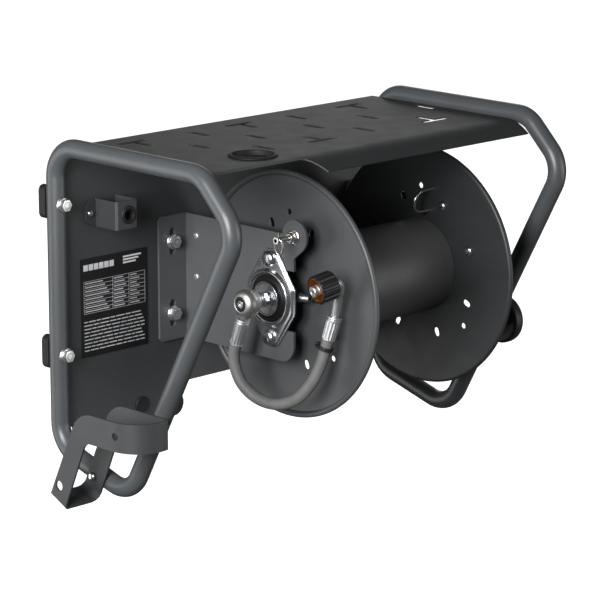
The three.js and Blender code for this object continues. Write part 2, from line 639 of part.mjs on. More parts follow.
// A disc with a bead rolled to its outer side, lock slots and tie holes. out is -1 or +1.
function reelDisc(name, x, out) {
  const half = DISC_SHEET / 2;
  const beadRadius = DISC_RADIUS - BEAD;
  const rim = [];
  for (let degrees = -60; degrees <= 150; degrees += 42) {
    rim.push([beadRadius + BEAD * Math.cos(radians(degrees)), BEAD - half + BEAD * Math.sin(radians(degrees))]);
  }
  const profile = [
    [SHAFT_RADIUS + GAP, -half],
    [beadRadius, -half],
    ...rim,
    [beadRadius - BEAD, BEAD - half],
    [beadRadius - BEAD - 0.5, half],
    [SHAFT_RADIUS + GAP, half],
  ];
  let disc = turned(profile, point(x, AXIS_Y, AXIS_Z), point(out, 0, 0), 36);
  for (let degrees = LOCK_PHASE % LOCK_STEP; degrees < 360; degrees += LOCK_STEP) {
    const slot = new THREE.Vector2(Math.cos(radians(180 - degrees)), Math.sin(radians(180 - degrees)));
    const across = slot.clone().rotateAround(new THREE.Vector2(), Math.PI / 2);
    const corner = (along, side) => [
      AXIS_Y + slot.x * along + across.x * side,
      AXIS_Z + slot.y * along + across.y * side,
      LOCK_SLOT.width / 2 - 0.1,
    ];
    const [near, far] = [LOCK_RADIUS - LOCK_SLOT.length / 2, LOCK_RADIUS + LOCK_SLOT.length / 2];
    const side = LOCK_SLOT.width / 2;
    const shape = outline([corner(near, -side), corner(far, -side), corner(far, side), corner(near, side)]);
    disc = disc.subtract(alongX(shape, x - 4, x + 4));
  }
  TIE_ANGLES.forEach((degrees) => {
    const [y, z] = onReel(TIE_RADIUS, degrees);
    disc = disc.subtract(ringX(x - 4, x + 4, y, z, 3.4, 0, 8));
  });
  addPart(name, disc, 'sheet');
}

reelDisc('left_disc', LEFT_DISC_X, -1);
reelDisc('right_disc', RIGHT_DISC_X, 1);

const drumEnd = DISC_SHEET / 2 + GAP;
const drum = ringX(
  LEFT_DISC_X + drumEnd, RIGHT_DISC_X - drumEnd, AXIS_Y, AXIS_Z, DRUM_RADIUS, DRUM_RADIUS - DISC_SHEET, 36,
);
addPart('drum', drum, 'drum');

// The hollow shaft, from the collar that closes the left bearing to the crank.
const COLLAR = { radius: 19.4, thickness: 2.5 };
const COLLAR_X = LEFT_PLATE_X - HOUSING_DEPTH - GAP - COLLAR.thickness;
const SHAFT_BORE = 7;
const CRANK_X = FRAME_X + TUBE_RADIUS + 3.5;
const CRANK_SHEET = 6;
const shaftLength = CRANK_X - GAP - COLLAR_X;
const shaft = turned([
  [SHAFT_BORE, 0],
  [COLLAR.radius, 0],
  [COLLAR.radius, COLLAR.thickness - 0.5],
  [SHAFT_RADIUS, COLLAR.thickness - 0.1],
  [SHAFT_RADIUS, shaftLength],
  [SHAFT_BORE, shaftLength],
], point(COLLAR_X, AXIS_Y, AXIS_Z), X_AXIS, 20);
addPart('shaft', shaft, 'zinc');

// The nipple that the drum's hose screws on, between the left plate and the left disc.
function hoseOutlet() {
  const direction = point(0, -Math.cos(radians(4)), Math.sin(radians(4)));
  const [foot, shoulder, end] = [SHAFT_RADIUS + 2 * GAP, 30, 45];
  const profile = [[0, foot], [5.5, foot], [5.5, shoulder], [4.4, shoulder + 1], [4.4, end], [0, end]];
  addPart('hose_outlet', turned(profile, point(LEFT_DISC_X - 12, AXIS_Y, AXIS_Z), direction, 16), 'zinc');
}

hoseOutlet();

// U-bolt that clamps the hose's first turn against the right disc, and two screws in lock slots.
function hoseClamp() {
  const wire = 1.9;
  const reach = 26;
  const x = RIGHT_DISC_X - DISC_SHEET / 2 - GAP;
  const [outerY, outerZ] = onReel(TIE_RADIUS, 79);
  const [innerY, innerZ] = onReel(67, 79);
  const route = [
    point(x, outerY, outerZ),
    point(x - reach, outerY, outerZ),
    point(x - reach, innerY, innerZ),
    point(x, innerY, innerZ),
  ];
  addPart('hose_clamp', sweptRod(bentStations(route, 12.5, 5), wire, 10), 'steel');
  [['front', LOCK_PHASE - LOCK_STEP], ['top', LOCK_PHASE]].forEach(([place, degrees]) => {
    const [y, z] = onReel(LOCK_RADIUS, degrees);
    const seat = point(x, y, z);
    const head = turned([[0, 0], [6, 0], [6, 1.2], [3.8, 3.4], [0, 3.8]], seat, MINUS_X, 12);
    const rod = turned([[0, -10], [2.9, -10], [2.9, 1], [0, 1]], seat, MINUS_X, 12);
    const nut = prism(10, 4.5, point(RIGHT_DISC_X + DISC_SHEET / 2 + GAP, y, z), X_AXIS);
    addPart(`disc_screw_${place}`, union(head, rod, nut), 'zinc');
  });
}

hoseClamp();

// ---------------------------------------------------------------- crank
const CRANK_HUB = 19;
const CRANK_END = 12;
const SPINDLE_RADIUS = 4;
const KNOB = { bore: 4.4, rim: 29, length: 40, recess: 34 };

// A flat arm, the bolt that holds it to the shaft, and a knob that turns on its spindle.
function crank() {
  const [y, z] = onReel(CRANK_RADIUS, CRANK_ANGLE);
  const face = CRANK_X + CRANK_SHEET;
  const hub = ringX(CRANK_X, face, AXIS_Y, AXIS_Z, CRANK_HUB, 0, 24);
  const armEnd = ringX(CRANK_X, face, y, z, CRANK_END, 0, 24);
  const across = new THREE.Vector2(y - AXIS_Y, z - AXIS_Z)
    .normalize()
    .rotateAround(new THREE.Vector2(), Math.PI / 2);
  const beside = (centreY, centreZ, side) => [centreY + across.x * side, centreZ + across.y * side];
  const arm = outline([
    beside(AXIS_Y, AXIS_Z, -14), beside(y, z, -CRANK_END), beside(y, z, CRANK_END), beside(AXIS_Y, AXIS_Z, 14),
  ]);
  const bores = [[AXIS_Y, AXIS_Z], [y, z]].map(([boreY, boreZ]) => (
    ringX(CRANK_X - 1, face + 1, boreY, boreZ, M8_HOLE, 0, 12)
  ));
  const body = union(hub, armEnd, alongX(arm, CRANK_X, face));
  addPart('crank_arm', body.subtract(bores[0]).subtract(bores[1]), 'sheet');
  addPart('crank_bolt', flangeBolt(point(face + GAP, AXIS_Y, AXIS_Z), MINUS_X, 30), 'zinc');
  const knobX = face + 1;
  const { bore, rim, length, recess } = KNOB;
  const knob = turned([
    [bore, 0], [11, 0], [10, 14], [13, 20], [rim - 1.5, 22], [rim, 24],
    [rim, length - 7], [rim - 3, length - 3], [2 * SPINDLE_RADIUS, length],
    [2 * SPINDLE_RADIUS, recess], [bore, recess],
  ], point(knobX, y, z), X_AXIS, 20);
  addPart('crank_knob', knob, 'plastic');
  const rodStart = -9;
  const headSeat = recess + GAP;
  const spindle = union(
    turned([[0, rodStart], [SPINDLE_RADIUS, rodStart], [SPINDLE_RADIUS, headSeat + 0.2], [0, headSeat + 0.2]],
      point(knobX, y, z), X_AXIS, 8),
    turned([[0, 0], [6.5, 0], [6, 3], [0, 4]], point(knobX + headSeat, y, z), X_AXIS, 10),
    prism(13, 3, point(CRANK_X - GAP, y, z), MINUS_X),
  );
  addPart('crank_spindle', spindle, 'zinc');
}

crank();

// ---------------------------------------------------------------- swivel inlet
const SWIVEL_X = -104.5;            // middle of the swivel body
const HOSE_EXIT_TILT = 20.4;        // degrees from straight down, towards the wall
const exitDirection = point(0, Math.sin(radians(HOSE_EXIT_TILT)), -Math.cos(radians(HOSE_EXIT_TILT)));

// A stem with a hexagon that turns with the shaft, and the body on it that the jumper hose leaves from.
function swivel() {
  const stemEnd = COLLAR_X - GAP;
  const stem = union(
    turned([[0, 0], [8.8, 0], [8.8, 4.6], [0, 4.6]], point(stemEnd - 4.6, AXIS_Y, AXIS_Z), X_AXIS, 6),
    turned([[0, 0], [6.6, 0], [6.6, 20], [0, 20]], point(stemEnd - 18, AXIS_Y, AXIS_Z), X_AXIS, 20),
    turned([[0, 0], [6.5, 0], [6.5, 12], [0, 12]], point(stemEnd - 4, AXIS_Y, AXIS_Z), X_AXIS, 20),
  );
  addPart('swivel_stem', stem, 'zinc');
  const [rear, front] = [SWIVEL_X - 11.8, SWIVEL_X + 12.3];
  const body = turned([
    [7, 9.5], [7, 24.1], [9.8, 24.1], [11.6, 22.5], [12.4, 20], [15, 18], [16.2, 14], [16.2, 9], [14.8, 4.2],
    [11.2, 1], [8.6, 0], [8.6, 2.5], [0, 2.5], [0, 9.5],
  ], point(rear, AXIS_Y, AXIS_Z), X_AXIS, 16);
  const bossProfile = [[0, 0], [7.6, 0], [7.6, 17], [0, 17]];
  const boss = turned(bossProfile, point(SWIVEL_X, AXIS_Y, AXIS_Z), exitDirection, 14);
  const cleared = boss.subtract(ringX(rear, front, AXIS_Y, AXIS_Z, 10, 0, 16));
  addPart('swivel_body', body.add(cleared), 'aluminium');
  const cap = [[0, 0], [5.2, 0], [5.2, 0.9], [8.1, 0.9], [8.1, 3], [0, 3]];
  addPart('swivel_cap', turned(cap, point(rear - 0.8, AXIS_Y, AXIS_Z), X_AXIS, 20), 'rubber');
}

swivel();

// ---------------------------------------------------------------- jumper hose and its fittings
// Centre points of the hose, from the inlet ferrule round and up to the outlet ferrule.
const HOSE_ROUTE = [
  [-105, -148.5, -78.1],
  [-105, -145.4, -87.0],
  [-105, -145.0, -97.0],
  [-104.6, -148.2, -108.8],
  [-103.4, -155.6, -121.6],
  [-100.6, -167.0, -131.8],
  [-97.4, -179.5, -137.6],
  [-93.6, -191.2, -139.9],
  [-89.0, -203.6, -139.2],
  [-84.0, -216.6, -134.0],
  [-79.4, -227.0, -125.8],
  [-74.4, -236.2, -112.2],
  [-70.5, -242.5, -98.5],
  [-67.4, -246.0, -86.6],
  [-64.7, -248.4, -73.6],
  [-62.8, -250.9, -62.4],
];

// The coupling's mouth, and the direction from the mouth to its back; the pipe's corner lies behind it.
const COUPLING = {
  mouth: point(-95, -263.9, 1),
  back: point(0.968, -0.159, 0.197).normalize(),
  length: 23,
};
const COUPLING_NUT = { radius: 13.8, mouth: 11.6, shoulder: 16.5, end: 22.2 };
const COUPLING_SLEEVE = { bore: COUPLING_NUT.radius + GAP, core: 15.3, rib: 16.4, ribs: 16 };
const NIPPLE = { radius: 6.2, bore: 2.8, ahead: 4.5 };
const ELBOW_CORNER = 35.7;          // from the coupling's mouth to the pipe's corner
const ELBOW_RADIUS = 5.2;
const FERRULE_RADIUS = 8.3;

function hoseStations(steps) {
  const curve = new THREE.CatmullRomCurve3(HOSE_ROUTE.map((place) => point(...place)), false, 'centripetal');
  const stations = [];
  for (let i = 0; i <= steps; i += 1) {
    stations.push({ point: curve.getPointAt(i / steps), tangent: curve.getTangentAt(i / steps) });
  }
  return stations;
}

// A crimped sleeve with a groove near its far end.
function ferrule(name, end, direction, length) {
  const groove = FERRULE_RADIUS - 1.1;
  const profile = [
    [0, 0],
    [FERRULE_RADIUS - 0.7, 0],
    [FERRULE_RADIUS, 1.2],
    [FERRULE_RADIUS, length - 8],
    [groove, length - 6.5],
    [groove, length - 4],
    [FERRULE_RADIUS, length - 2.5],
    [FERRULE_RADIUS - 0.7, length],
    [0, length],
  ];
  addPart(name, turned(profile, end.clone().addScaledVector(direction, GAP), direction, 14), 'zinc');
}

function jumperHose() {
  const stations = hoseStations(16);
  addPart('jumper_hose', sweptRod(stations, HOSE_RADIUS, 10), 'hose');
  const first = stations[0];
  const last = stations[stations.length - 1];
  ferrule('inlet_ferrule', first.point, first.tangent.clone().negate(), 33.5);
  const outletLength = 28;
  ferrule('outlet_ferrule', last.point, last.tangent, outletLength);
  const stemBase = last.point.clone().addScaledVector(last.tangent, outletLength + 2.5);
  const { mouth, back } = COUPLING;
  const fromMouth = (distance) => mouth.clone().addScaledVector(back, distance);
  const shoulderGap = COUPLING_NUT.shoulder - GAP;
  const route = [stemBase, fromMouth(ELBOW_CORNER), fromMouth(shoulderGap - 2)];
  const nipple = turned([
    [0, 6], [NIPPLE.bore, 6], [NIPPLE.bore, -NIPPLE.ahead], [NIPPLE.radius - 1, -NIPPLE.ahead],
    [NIPPLE.radius, 1 - NIPPLE.ahead], [NIPPLE.radius, shoulderGap], [0, shoulderGap],
  ], mouth, back, 16);
  const pipe = sweptRod(bentStations(route, 9.5, 6), ELBOW_RADIUS, 12);
  addPart('elbow_fitting', pipe.add(nipple), 'zinc');
  const bore = ELBOW_RADIUS + 2 * GAP;
  const { radius, mouth: opening, shoulder, end } = COUPLING_NUT;
  const nut = turned([
    [bore, end], [bore, shoulder], [opening, shoulder], [opening, 0.5], [radius, 0.5], [radius, end],
  ], mouth, back, 16);
  addPart('coupling_nut', nut, 'brass');
  addPart('coupling_sleeve', ribbedSleeve(), 'plastic');
}

// Sleeve of the coupling with grip ribs along it.
function ribbedSleeve() {
  const { bore, core, rib, ribs } = COUPLING_SLEEVE;
  const points = [];
  for (let i = 0; i < ribs; i += 1) {
    [[-0.34, core], [-0.26, rib], [0.26, rib], [0.34, core]].forEach(([offset, radius]) => {
      const angle = (2 * Math.PI * (i + offset)) / ribs;
      points.push([radius * Math.cos(angle), radius * Math.sin(angle)]);
    });
  }
  const turn = new THREE.Quaternion().setFromUnitVectors(new THREE.Vector3(0, 0, 1), COUPLING.back);
  const matrix = new THREE.Matrix4().compose(COUPLING.mouth, turn, new THREE.Vector3(1, 1, 1));
  return solid(slab(outline(points, [circle(0, 0, bore, 32)]), COUPLING.length), matrix);
}

jumperHose();

// The cable tie round the hose, below the outlet ferrule.
function hoseTie() {
  const station = hoseStations(40)[38];
  const [bore, outer] = [HOSE_RADIUS + 2 * GAP, HOSE_RADIUS + 1.8];
  const profile = [[bore, -2.2], [outer, -2.2], [outer, 2.2], [bore, 2.2]];
  const band = turned(profile, station.point, station.tangent, 12);
  const side = point(-0.4, 0.9, 0.1).cross(station.tangent).cross(station.tangent).negate().normalize();
  const headCentre = station.point.clone().addScaledVector(side, HOSE_RADIUS + 3.5);
  const head = turned([[0, -3.2], [4, -3.2], [4, 3.2], [0, 3.2]], headCentre, station.tangent, 8);
  const opening = turned([[0, -9], [bore, -9], [bore, 9], [0, 9]], station.point, station.tangent, 12);
  addPart('hose_tie', band.add(head).subtract(opening), 'plastic');
}

hoseTie();

// ---------------------------------------------------------------- lock pin
const PIN_TRAVEL = 12;
const PIN_RADIUS = 2.75;

// A barrel screwed through the bracket's ear, and the spring pin in it that drops into a disc's slot.
function lockPin() {
  const outer = LEFT_PLATE_X - GAP;
  const innerFace = LEFT_PLATE_X + BRACKET_SHEET + GAP;
  const barrelEnd = outer - 9;
  const barrel = union(
    prism(13, 5, point(outer, PIN_Y, PIN_Z), MINUS_X),
    ringX(barrelEnd, outer - 4, PIN_Y, PIN_Z, 5.6, 0, 16),
    ringX(outer - 6, innerFace + 5, PIN_Y, PIN_Z, PIN_HOLE - 0.5, 0, 12),
    prism(13, 4.5, point(innerFace, PIN_Y, PIN_Z), X_AXIS),
  );
  const bore = ringX(outer - 20, innerFace + 20, PIN_Y, PIN_Z, PIN_RADIUS + 0.45, 0, 16);
  addPart('lock_pin_barrel', barrel.subtract(bore), 'steel');
  const pullRadius = 1.6;
  const pullX = barrelEnd - PIN_TRAVEL - pullRadius - 2 * GAP;
  const rodStart = pullX - 4;
  const length = LEFT_DISC_X - 8 - rodStart;
  const rod = turned([
    [0, 0], [PIN_RADIUS, 0], [PIN_RADIUS, length - 1.5], [1.6, length], [0, length],
  ], point(rodStart, PIN_Y, PIN_Z), X_AXIS, 16);
  const pull = turned([[0, -13], [pullRadius, -13], [pullRadius, 11], [0, 11]],
    point(pullX, PIN_Y, PIN_Z), point(0, -0.25, -1), 10);
  const stop = ringX(rodStart - 1.5, rodStart + 1, PIN_Y, PIN_Z, 4.2, 0, 16);
  addPart('lock_pin_plunger', union(rod, pull, stop), 'steel');
}

lockPin();

// ---------------------------------------------------------------- lance holder
const HOLDER_SHEET = 2.5;
const HOLDER_REAR_X = -FRAME_X - TUBE_RADIUS - GAP;
const HOLDER_WIDTH = 50;
const HOLDER_TOP = FRAME_TOP - 269;
const HOLDER_SCREW = [LEG_Y - 69, FRAME_TOP - 359.5];
const HOLDER_HOLE = [LEG_Y - 163, FRAME_TOP - 284.6];

// One bent strap: two cheeks side by side, joined round the front and below. The inner one is on the tube.
function lanceHolder() {
  const [rearX, frontX] = [HOLDER_REAR_X, HOLDER_REAR_X - HOLDER_WIDTH];
  const top = HOLDER_TOP;
  const cheek = (grow) => outline([
    [LEG_Y - 240, top + grow],
    [LEG_Y - 103, top + grow, 34],
    [LEG_Y - 43.5 + grow, top - 125],
    [LEG_Y - 73.5 - grow, top - 125],
    [LEG_Y - 114.5 - grow, top - 32.5 - grow, 12],
    [LEG_Y - 240, top - 32.5 - grow],
  ]);
  // Seen from above: square corner at the rear cheek, wide curve into the front cheek.
  const plan = (inset) => outline([
    [rearX - inset, LEG_Y],
    [frontX + inset, LEG_Y],
    [frontX + inset, LEG_Y - 202 + inset, 36 - inset],
    [rearX - inset, LEG_Y - 195 + inset, 3.5],
  ]);
  // Seen along the lower leg: square corner at the front cheek, wide curve into the rear cheek.
  const legTilt = radians(25.5);
  const legBottom = point(0, LEG_Y - 68, top - 112);
  const legSection = (inset) => {
    const shape = outline([
      [rearX - inset, 300],
      [frontX + inset, 300],
      [frontX + inset, inset, 3.5],
      [rearX - inset, inset, 11 - inset],
    ]);
    const up = point(0, -Math.sin(legTilt), Math.cos(legTilt));
    const axes = new THREE.Matrix4().makeBasis(X_AXIS, up, X_AXIS.clone().cross(up));
    const centred = new THREE.Matrix4().makeTranslation(legBottom.x, legBottom.y, legBottom.z).multiply(axes);
    return solid(slab(shape, 400).translate(0, 0, -200), centred);
  };
  const outer = alongX(cheek(0), frontX, rearX).intersect(alongZ(plan(0), -300, 300)).intersect(legSection(0));
  const inner = alongX(cheek(4), frontX - 5, rearX + 5)
    .intersect(alongZ(plan(HOLDER_SHEET), -300, 300))
    .intersect(legSection(HOLDER_SHEET));
  let strap = outer.subtract(inner);
  const [screwY, screwZ] = HOLDER_SCREW;
  strap = strap.subtract(ringX(rearX - 6, rearX + 2, screwY, screwZ, 3.2, 0, 12));
  strap = strap.subtract(ringX(frontX - 2, frontX + 6, screwY, screwZ, 5.6, 0, 16));
  strap = strap.subtract(ringX(frontX - 2, frontX + 6, ...HOLDER_HOLE, 4.2, 0, 16));
  addPart('lance_holder', strap, 'tube');
  const seat = point(rearX - HOLDER_SHEET - GAP, screwY, screwZ);
  const screw = union(
    turned([[0, 0], [5.5, 0], [5, 2], [3, 3.2], [0, 3.4]], seat, MINUS_X, 12),
    turned([[0, -1], [2.9, -1], [2.9, HOLDER_SHEET + GAP], [0, HOLDER_SHEET + GAP]], seat, X_AXIS, 12),
  );
  addPart('lance_holder_screw', screw, 'zinc');
}

lanceHolder();

// ---------------------------------------------------------------- wand clip on the panel
const CLIP = { left: -199.5, right: -167.5, top: FRAME_TOP - 67, bottom: FRAME_TOP - 99, sheet: 2 };
const CLIP_RING = { x: -182, hole: 8.4, bore: 6.2 };

// A bent sheet with a foot on the panel, and a rubber ring in its front for the wand's tip.
function wandClip() {
  const { left, right, top, bottom, sheet } = CLIP;
  const rear = PANEL_FRONT_Y - GAP;
  const front = LEG_Y - 36;
  const z = (bottom + top) / 2;
  const foot = outline([
    [left + sheet, top - 1],
    [left - 6, top - 1, 6],
    [left - 15, z + 8, 6],
    [left - 15, z - 8, 6],
    [left - 6, bottom + 1, 6],
    [left + sheet, bottom + 1],
  ], [circle(CLIP_SCREW.x, CLIP_SCREW.z, CLIP_SCREW.hole, 12)]);
  const band = outline([
    [left, rear],
    [left, front, 2.5],
    [right, front, 2.5],
    [right, rear],
    [right - sheet, rear],
    [right - sheet, front + sheet],
    [left + sheet, front + sheet],
    [left + sheet, rear],
  ]);
  const clip = union(alongY(foot, rear - sheet, rear), alongZ(band, bottom, top));
  const hole = turned([[0, 0], [CLIP_RING.hole, 0], [CLIP_RING.hole, 8], [0, 8]],
    point(CLIP_RING.x, front - 3, z), TO_WALL, 12);
  addPart('wand_clip', clip.subtract(hole), 'sheet');
  const ring = [
    [CLIP_RING.bore, -2],
    [CLIP_RING.hole + 1, -2],
    [CLIP_RING.hole + 2.1, -GAP],
    [CLIP_RING.hole - GAP, -GAP],
    [CLIP_RING.hole - GAP, sheet + GAP],
    [CLIP_RING.hole + 1.6, sheet + GAP],
    [CLIP_RING.hole + 0.6, sheet + 2],
    [CLIP_RING.bore, sheet + 2],
  ];
  addPart('wand_clip_grommet', turned(ring, point(CLIP_RING.x, front, z), TO_WALL, 12), 'rubber');
  const seat = point(CLIP_SCREW.x, rear - sheet - GAP, CLIP_SCREW.z);
  const screw = union(
    turned([[0, 0], [4, 0], [3.6, 1.4], [2, 2.4], [0, 2.6]], seat, point(0, -1, 0), 12),
    turned([[0, -1], [2, -1], [2, 9], [0, 9]], seat, TO_WALL, 12),
  );
  addPart('wand_clip_screw', screw, 'zinc');
}

wandClip();

export default model;
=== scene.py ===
# Looks of the wall-mounted hose reel console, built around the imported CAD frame. Metres, +X along the
# drum, +Y into the wall, +Z up. Every place is worked out from the frame's boxes and the sizes below.
import math

import bmesh
import bpy
from mathutils import Matrix, Vector


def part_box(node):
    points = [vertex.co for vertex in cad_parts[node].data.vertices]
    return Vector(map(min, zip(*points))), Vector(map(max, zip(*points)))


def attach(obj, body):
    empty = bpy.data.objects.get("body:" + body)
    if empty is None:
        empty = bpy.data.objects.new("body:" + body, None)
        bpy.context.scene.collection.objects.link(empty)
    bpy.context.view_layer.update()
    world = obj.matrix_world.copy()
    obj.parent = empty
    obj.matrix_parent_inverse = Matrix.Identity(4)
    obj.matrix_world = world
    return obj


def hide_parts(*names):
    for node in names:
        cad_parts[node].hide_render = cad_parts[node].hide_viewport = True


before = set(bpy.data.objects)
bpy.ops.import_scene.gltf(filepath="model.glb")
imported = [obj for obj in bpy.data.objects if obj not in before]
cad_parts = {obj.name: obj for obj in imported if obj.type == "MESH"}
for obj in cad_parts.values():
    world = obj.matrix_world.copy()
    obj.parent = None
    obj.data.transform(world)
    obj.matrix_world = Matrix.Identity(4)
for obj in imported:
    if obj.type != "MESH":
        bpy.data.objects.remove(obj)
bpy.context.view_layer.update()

MM = 0.001
GAP = 0.3 * MM      # left between pieces that touch

# ------------------------------------------------------------------ camera
CAMERA_PLACE = Vector((-2.2251, -2.4174, 0.7266))
CAMERA_YAW = 44.37          # degrees from +Y towards +X
CAMERA_PITCH = -13.65
CAMERA_LENS = 172.9


def make_camera():
    data = bpy.data.cameras.new("camera")
    data.lens = CAMERA_LENS
    data.sensor_width = 36
    camera = bpy.data.objects.new("camera", data)
    bpy.context.scene.collection.objects.link(camera)
    camera.location = CAMERA_PLACE
    camera.rotation_euler = (math.radians(90 + CAMERA_PITCH), 0, math.radians(-CAMERA_YAW))
    bpy.context.scene.camera = camera


make_camera()


# ------------------------------------------------------------------ places read from the frame
def centre(node):
    low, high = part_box(node)
    return (low + high) / 2


def span(node):
    low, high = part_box(node)
    return high - low


AXIS = centre("drum")
X = Vector((1, 0, 0))
Y = Vector((0, 1, 0))
Z = Vector((0, 0, 1))
LEFT_DISC_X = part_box("left_disc")[1].x - 1 * MM
RIGHT_DISC_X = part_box("right_disc")[0].x + 1 * MM
TUBE_RADIUS = 10.65 * MM


# ------------------------------------------------------------------ mesh helpers
WELD = 1e-6                         # vertices nearer than this are one
SHARP_ANGLE = math.radians(32)      # edges that turn by more are shaded sharp
BLEND_ANGLE = math.radians(40)      # faces that differ by less share a corner's normal
BEVEL_ANGLE = math.radians(35)      # edges of a CAD shape that turn by more are rounded


def add_mesh(name, vertices, faces, smooth=True):
    """Object from vertices in metres and faces, its doubled vertices joined."""
    mesh = bpy.data.meshes.new(name)
    mesh.from_pydata([tuple(v) for v in vertices], [], faces)
    mesh.validate()
    piece = bpy.data.objects.new(name, mesh)
    bpy.context.scene.collection.objects.link(piece)
    tidy = bmesh.new()
    tidy.from_mesh(mesh)
    bmesh.ops.remove_doubles(tidy, verts=tidy.verts, dist=WELD)
    bmesh.ops.recalc_face_normals(tidy, faces=tidy.faces)
    tidy.to_mesh(mesh)
    tidy.free()
    if smooth:
        shade(piece)
    return piece


def shade(piece):
    """Smooth faces, with the edges that turn by more than SHARP_ANGLE left sharp."""
    mesh = piece.data
    mesh.polygons.foreach_set("use_smooth", [True] * len(mesh.polygons))
    work = bmesh.new()
    work.from_mesh(mesh)
    for edge in work.edges:
        edge.smooth = len(edge.link_faces) == 2 and edge.calc_face_angle(0) < SHARP_ANGLE
    work.to_mesh(mesh)
    work.free()


def join(name, pieces):
    """One piece made of several closed shells."""
    whole = bmesh.new()
    for piece in pieces:
        piece.data.transform(piece.matrix_world)
        whole.from_mesh(piece.data)
        bpy.data.objects.remove(piece)
    mesh = bpy.data.meshes.new(name)
    whole.to_mesh(mesh)
    whole.free()
    result = bpy.data.objects.new(name, mesh)
    bpy.context.scene.collection.objects.link(result)
    shade(result)
    return result


def facing(direction):
    """Rotation that takes +Z to the direction."""
    return Vector(direction).to_track_quat("Z", "Y").to_matrix().to_4x4()


def lathe(name, profile, base, direction, sides, ripple=None):
    """Turned closed shape; profile points are (radius, distance along the direction) in millimetres."""
    vertices = []
    faces = []
    rows = len(profile)
    turn = Matrix.Translation(base) @ facing(direction)
    for i in range(sides):
        angle = 2 * math.pi * i / sides
        for radius, along in profile:
            r = radius * MM
            if ripple and radius > 0:
                r += ripple(angle, along) * MM
            vertices.append(turn @ Vector((r * math.cos(angle), r * math.sin(angle), along * MM)))
    for i in range(sides):
        j = (i + 1) % sides
        for k in range(rows):
            m = (k + 1) % rows
            if profile[k][0] == 0 and profile[m][0] == 0:
                continue
            faces.append((i * rows + k, j * rows + k, j * rows + m, i * rows + m))
    return add_mesh(name, vertices, faces)


def rounded(profile, radius, steps=3):
    """Rounds the convex and concave corners of a turned profile, leaving points on the axis sharp."""
    result = []
    count = len(profile)
    for i, corner in enumerate(profile):
        here = Vector(corner)
        before = Vector(profile[i - 1])
        after = Vector(profile[(i + 1) % count])
        reach = min(radius, (before - here).length * 0.45, (after - here).length * 0.45)
        if corner[0] == 0 or reach < 0.02:
            result.append(tuple(here))
            continue
        start = here + (before - here).normalized() * reach
        end = here + (after - here).normalized() * reach
        for k in range(steps + 1):
            t = k / steps
            spot = start * (1 - t) ** 2 + here * 2 * t * (1 - t) + end * t ** 2
            result.append(tuple(spot))
    return result


def turned(name, profile, base, direction, sides, radius):
    """Turned shape whose profile has its corners rounded."""
    return lathe(name, rounded(profile, radius), base, direction, sides)


def hexagon(name, across, length, base, direction, chamfer=0.8):
    """Hexagon head: across the flats and length in millimetres, its outer end chamfered."""
    turn = Matrix.Translation(base) @ facing(direction)
    corner = across / math.sqrt(3)
    rows = [(corner, 0), (corner, length - chamfer * 0.6), (corner - chamfer, length)]
    vertices = []
    faces = []
    for radius, along in rows:
        for i in range(6):
            angle = math.pi * i / 3
            spot = Vector((radius * math.cos(angle), radius * math.sin(angle), along)) * MM
            vertices.append(turn @ spot)
    for row in range(len(rows) - 1):
        for i in range(6):
            j = (i + 1) % 6
            faces.append((row * 6 + i, row * 6 + j, row * 6 + 6 + j, row * 6 + 6 + i))
    faces.append(tuple(range(5, -1, -1)))
    last = (len(rows) - 1) * 6
    faces.append(tuple(range(last, last + 6)))
    return add_mesh(name, vertices, faces)


def circle(u, v, radius, sides):
    """Outline of a circle round (u, v)."""
    return [(u + radius * math.cos(2 * math.pi * i / sides), v + radius * math.sin(2 * math.pi * i / sides))
            for i in range(sides)]


def sheet(name, outlines, thickness, place, edge):
    """Flat sheet from closed outlines (the first is outside), with softened edges, put at a matrix."""
    curve = bpy.data.curves.new(name, "CURVE")
    curve.dimensions = "2D"
    curve.fill_mode = "BOTH"
    curve.extrude = thickness / 2 - edge
    curve.bevel_depth = edge
    curve.bevel_resolution = 2
    curve.offset = -edge
    for outline in outlines:
        spline = curve.splines.new("POLY")
        spline.points.add(len(outline) - 1)
        for spot, (u, v) in zip(spline.points, outline):
            spot.co = (u, v, 0, 1)
        spline.use_cyclic_u = True
    drawn = bpy.data.objects.new(name, curve)
    bpy.context.scene.collection.objects.link(drawn)
    bpy.context.view_layer.update()
    mesh = bpy.data.meshes.new_from_object(drawn)
    bpy.data.objects.remove(drawn)
    mesh.transform(place)
    piece = bpy.data.objects.new(name, mesh)
    bpy.context.scene.collection.objects.link(piece)
    work = bmesh.new()
    work.from_mesh(mesh)
    bmesh.ops.remove_doubles(work, verts=work.verts, dist=WELD)
    bmesh.ops.recalc_face_normals(work, faces=work.faces)
    work.to_mesh(mesh)
    work.free()
    shade(piece)
    return piece


def plane_x(x):
    """Outline (y, z) in the plane of constant x."""
    return Matrix(((0, 0, 1, x), (1, 0, 0, 0), (0, 1, 0, 0), (0, 0, 0, 1)))


def weigh_normals(piece):
    """Keeps wide flat faces flat beside their rounded edges: corner normals weighted by face area."""
    mesh = piece.data
    limit = math.cos(BLEND_ANGLE)
    around = [[] for _ in mesh.vertices]
    for face in mesh.polygons:
        for vertex in face.vertices:
            around[vertex].append(face)
    normals = []
    for face in mesh.polygons:
        for vertex in face.vertices:
            near = [other for other in around[vertex] if other.normal.dot(face.normal) > limit]
            total = sum((other.normal * other.area for other in near), Vector())
            normals.append(total.normalized())
    mesh.normals_split_custom_set(normals)


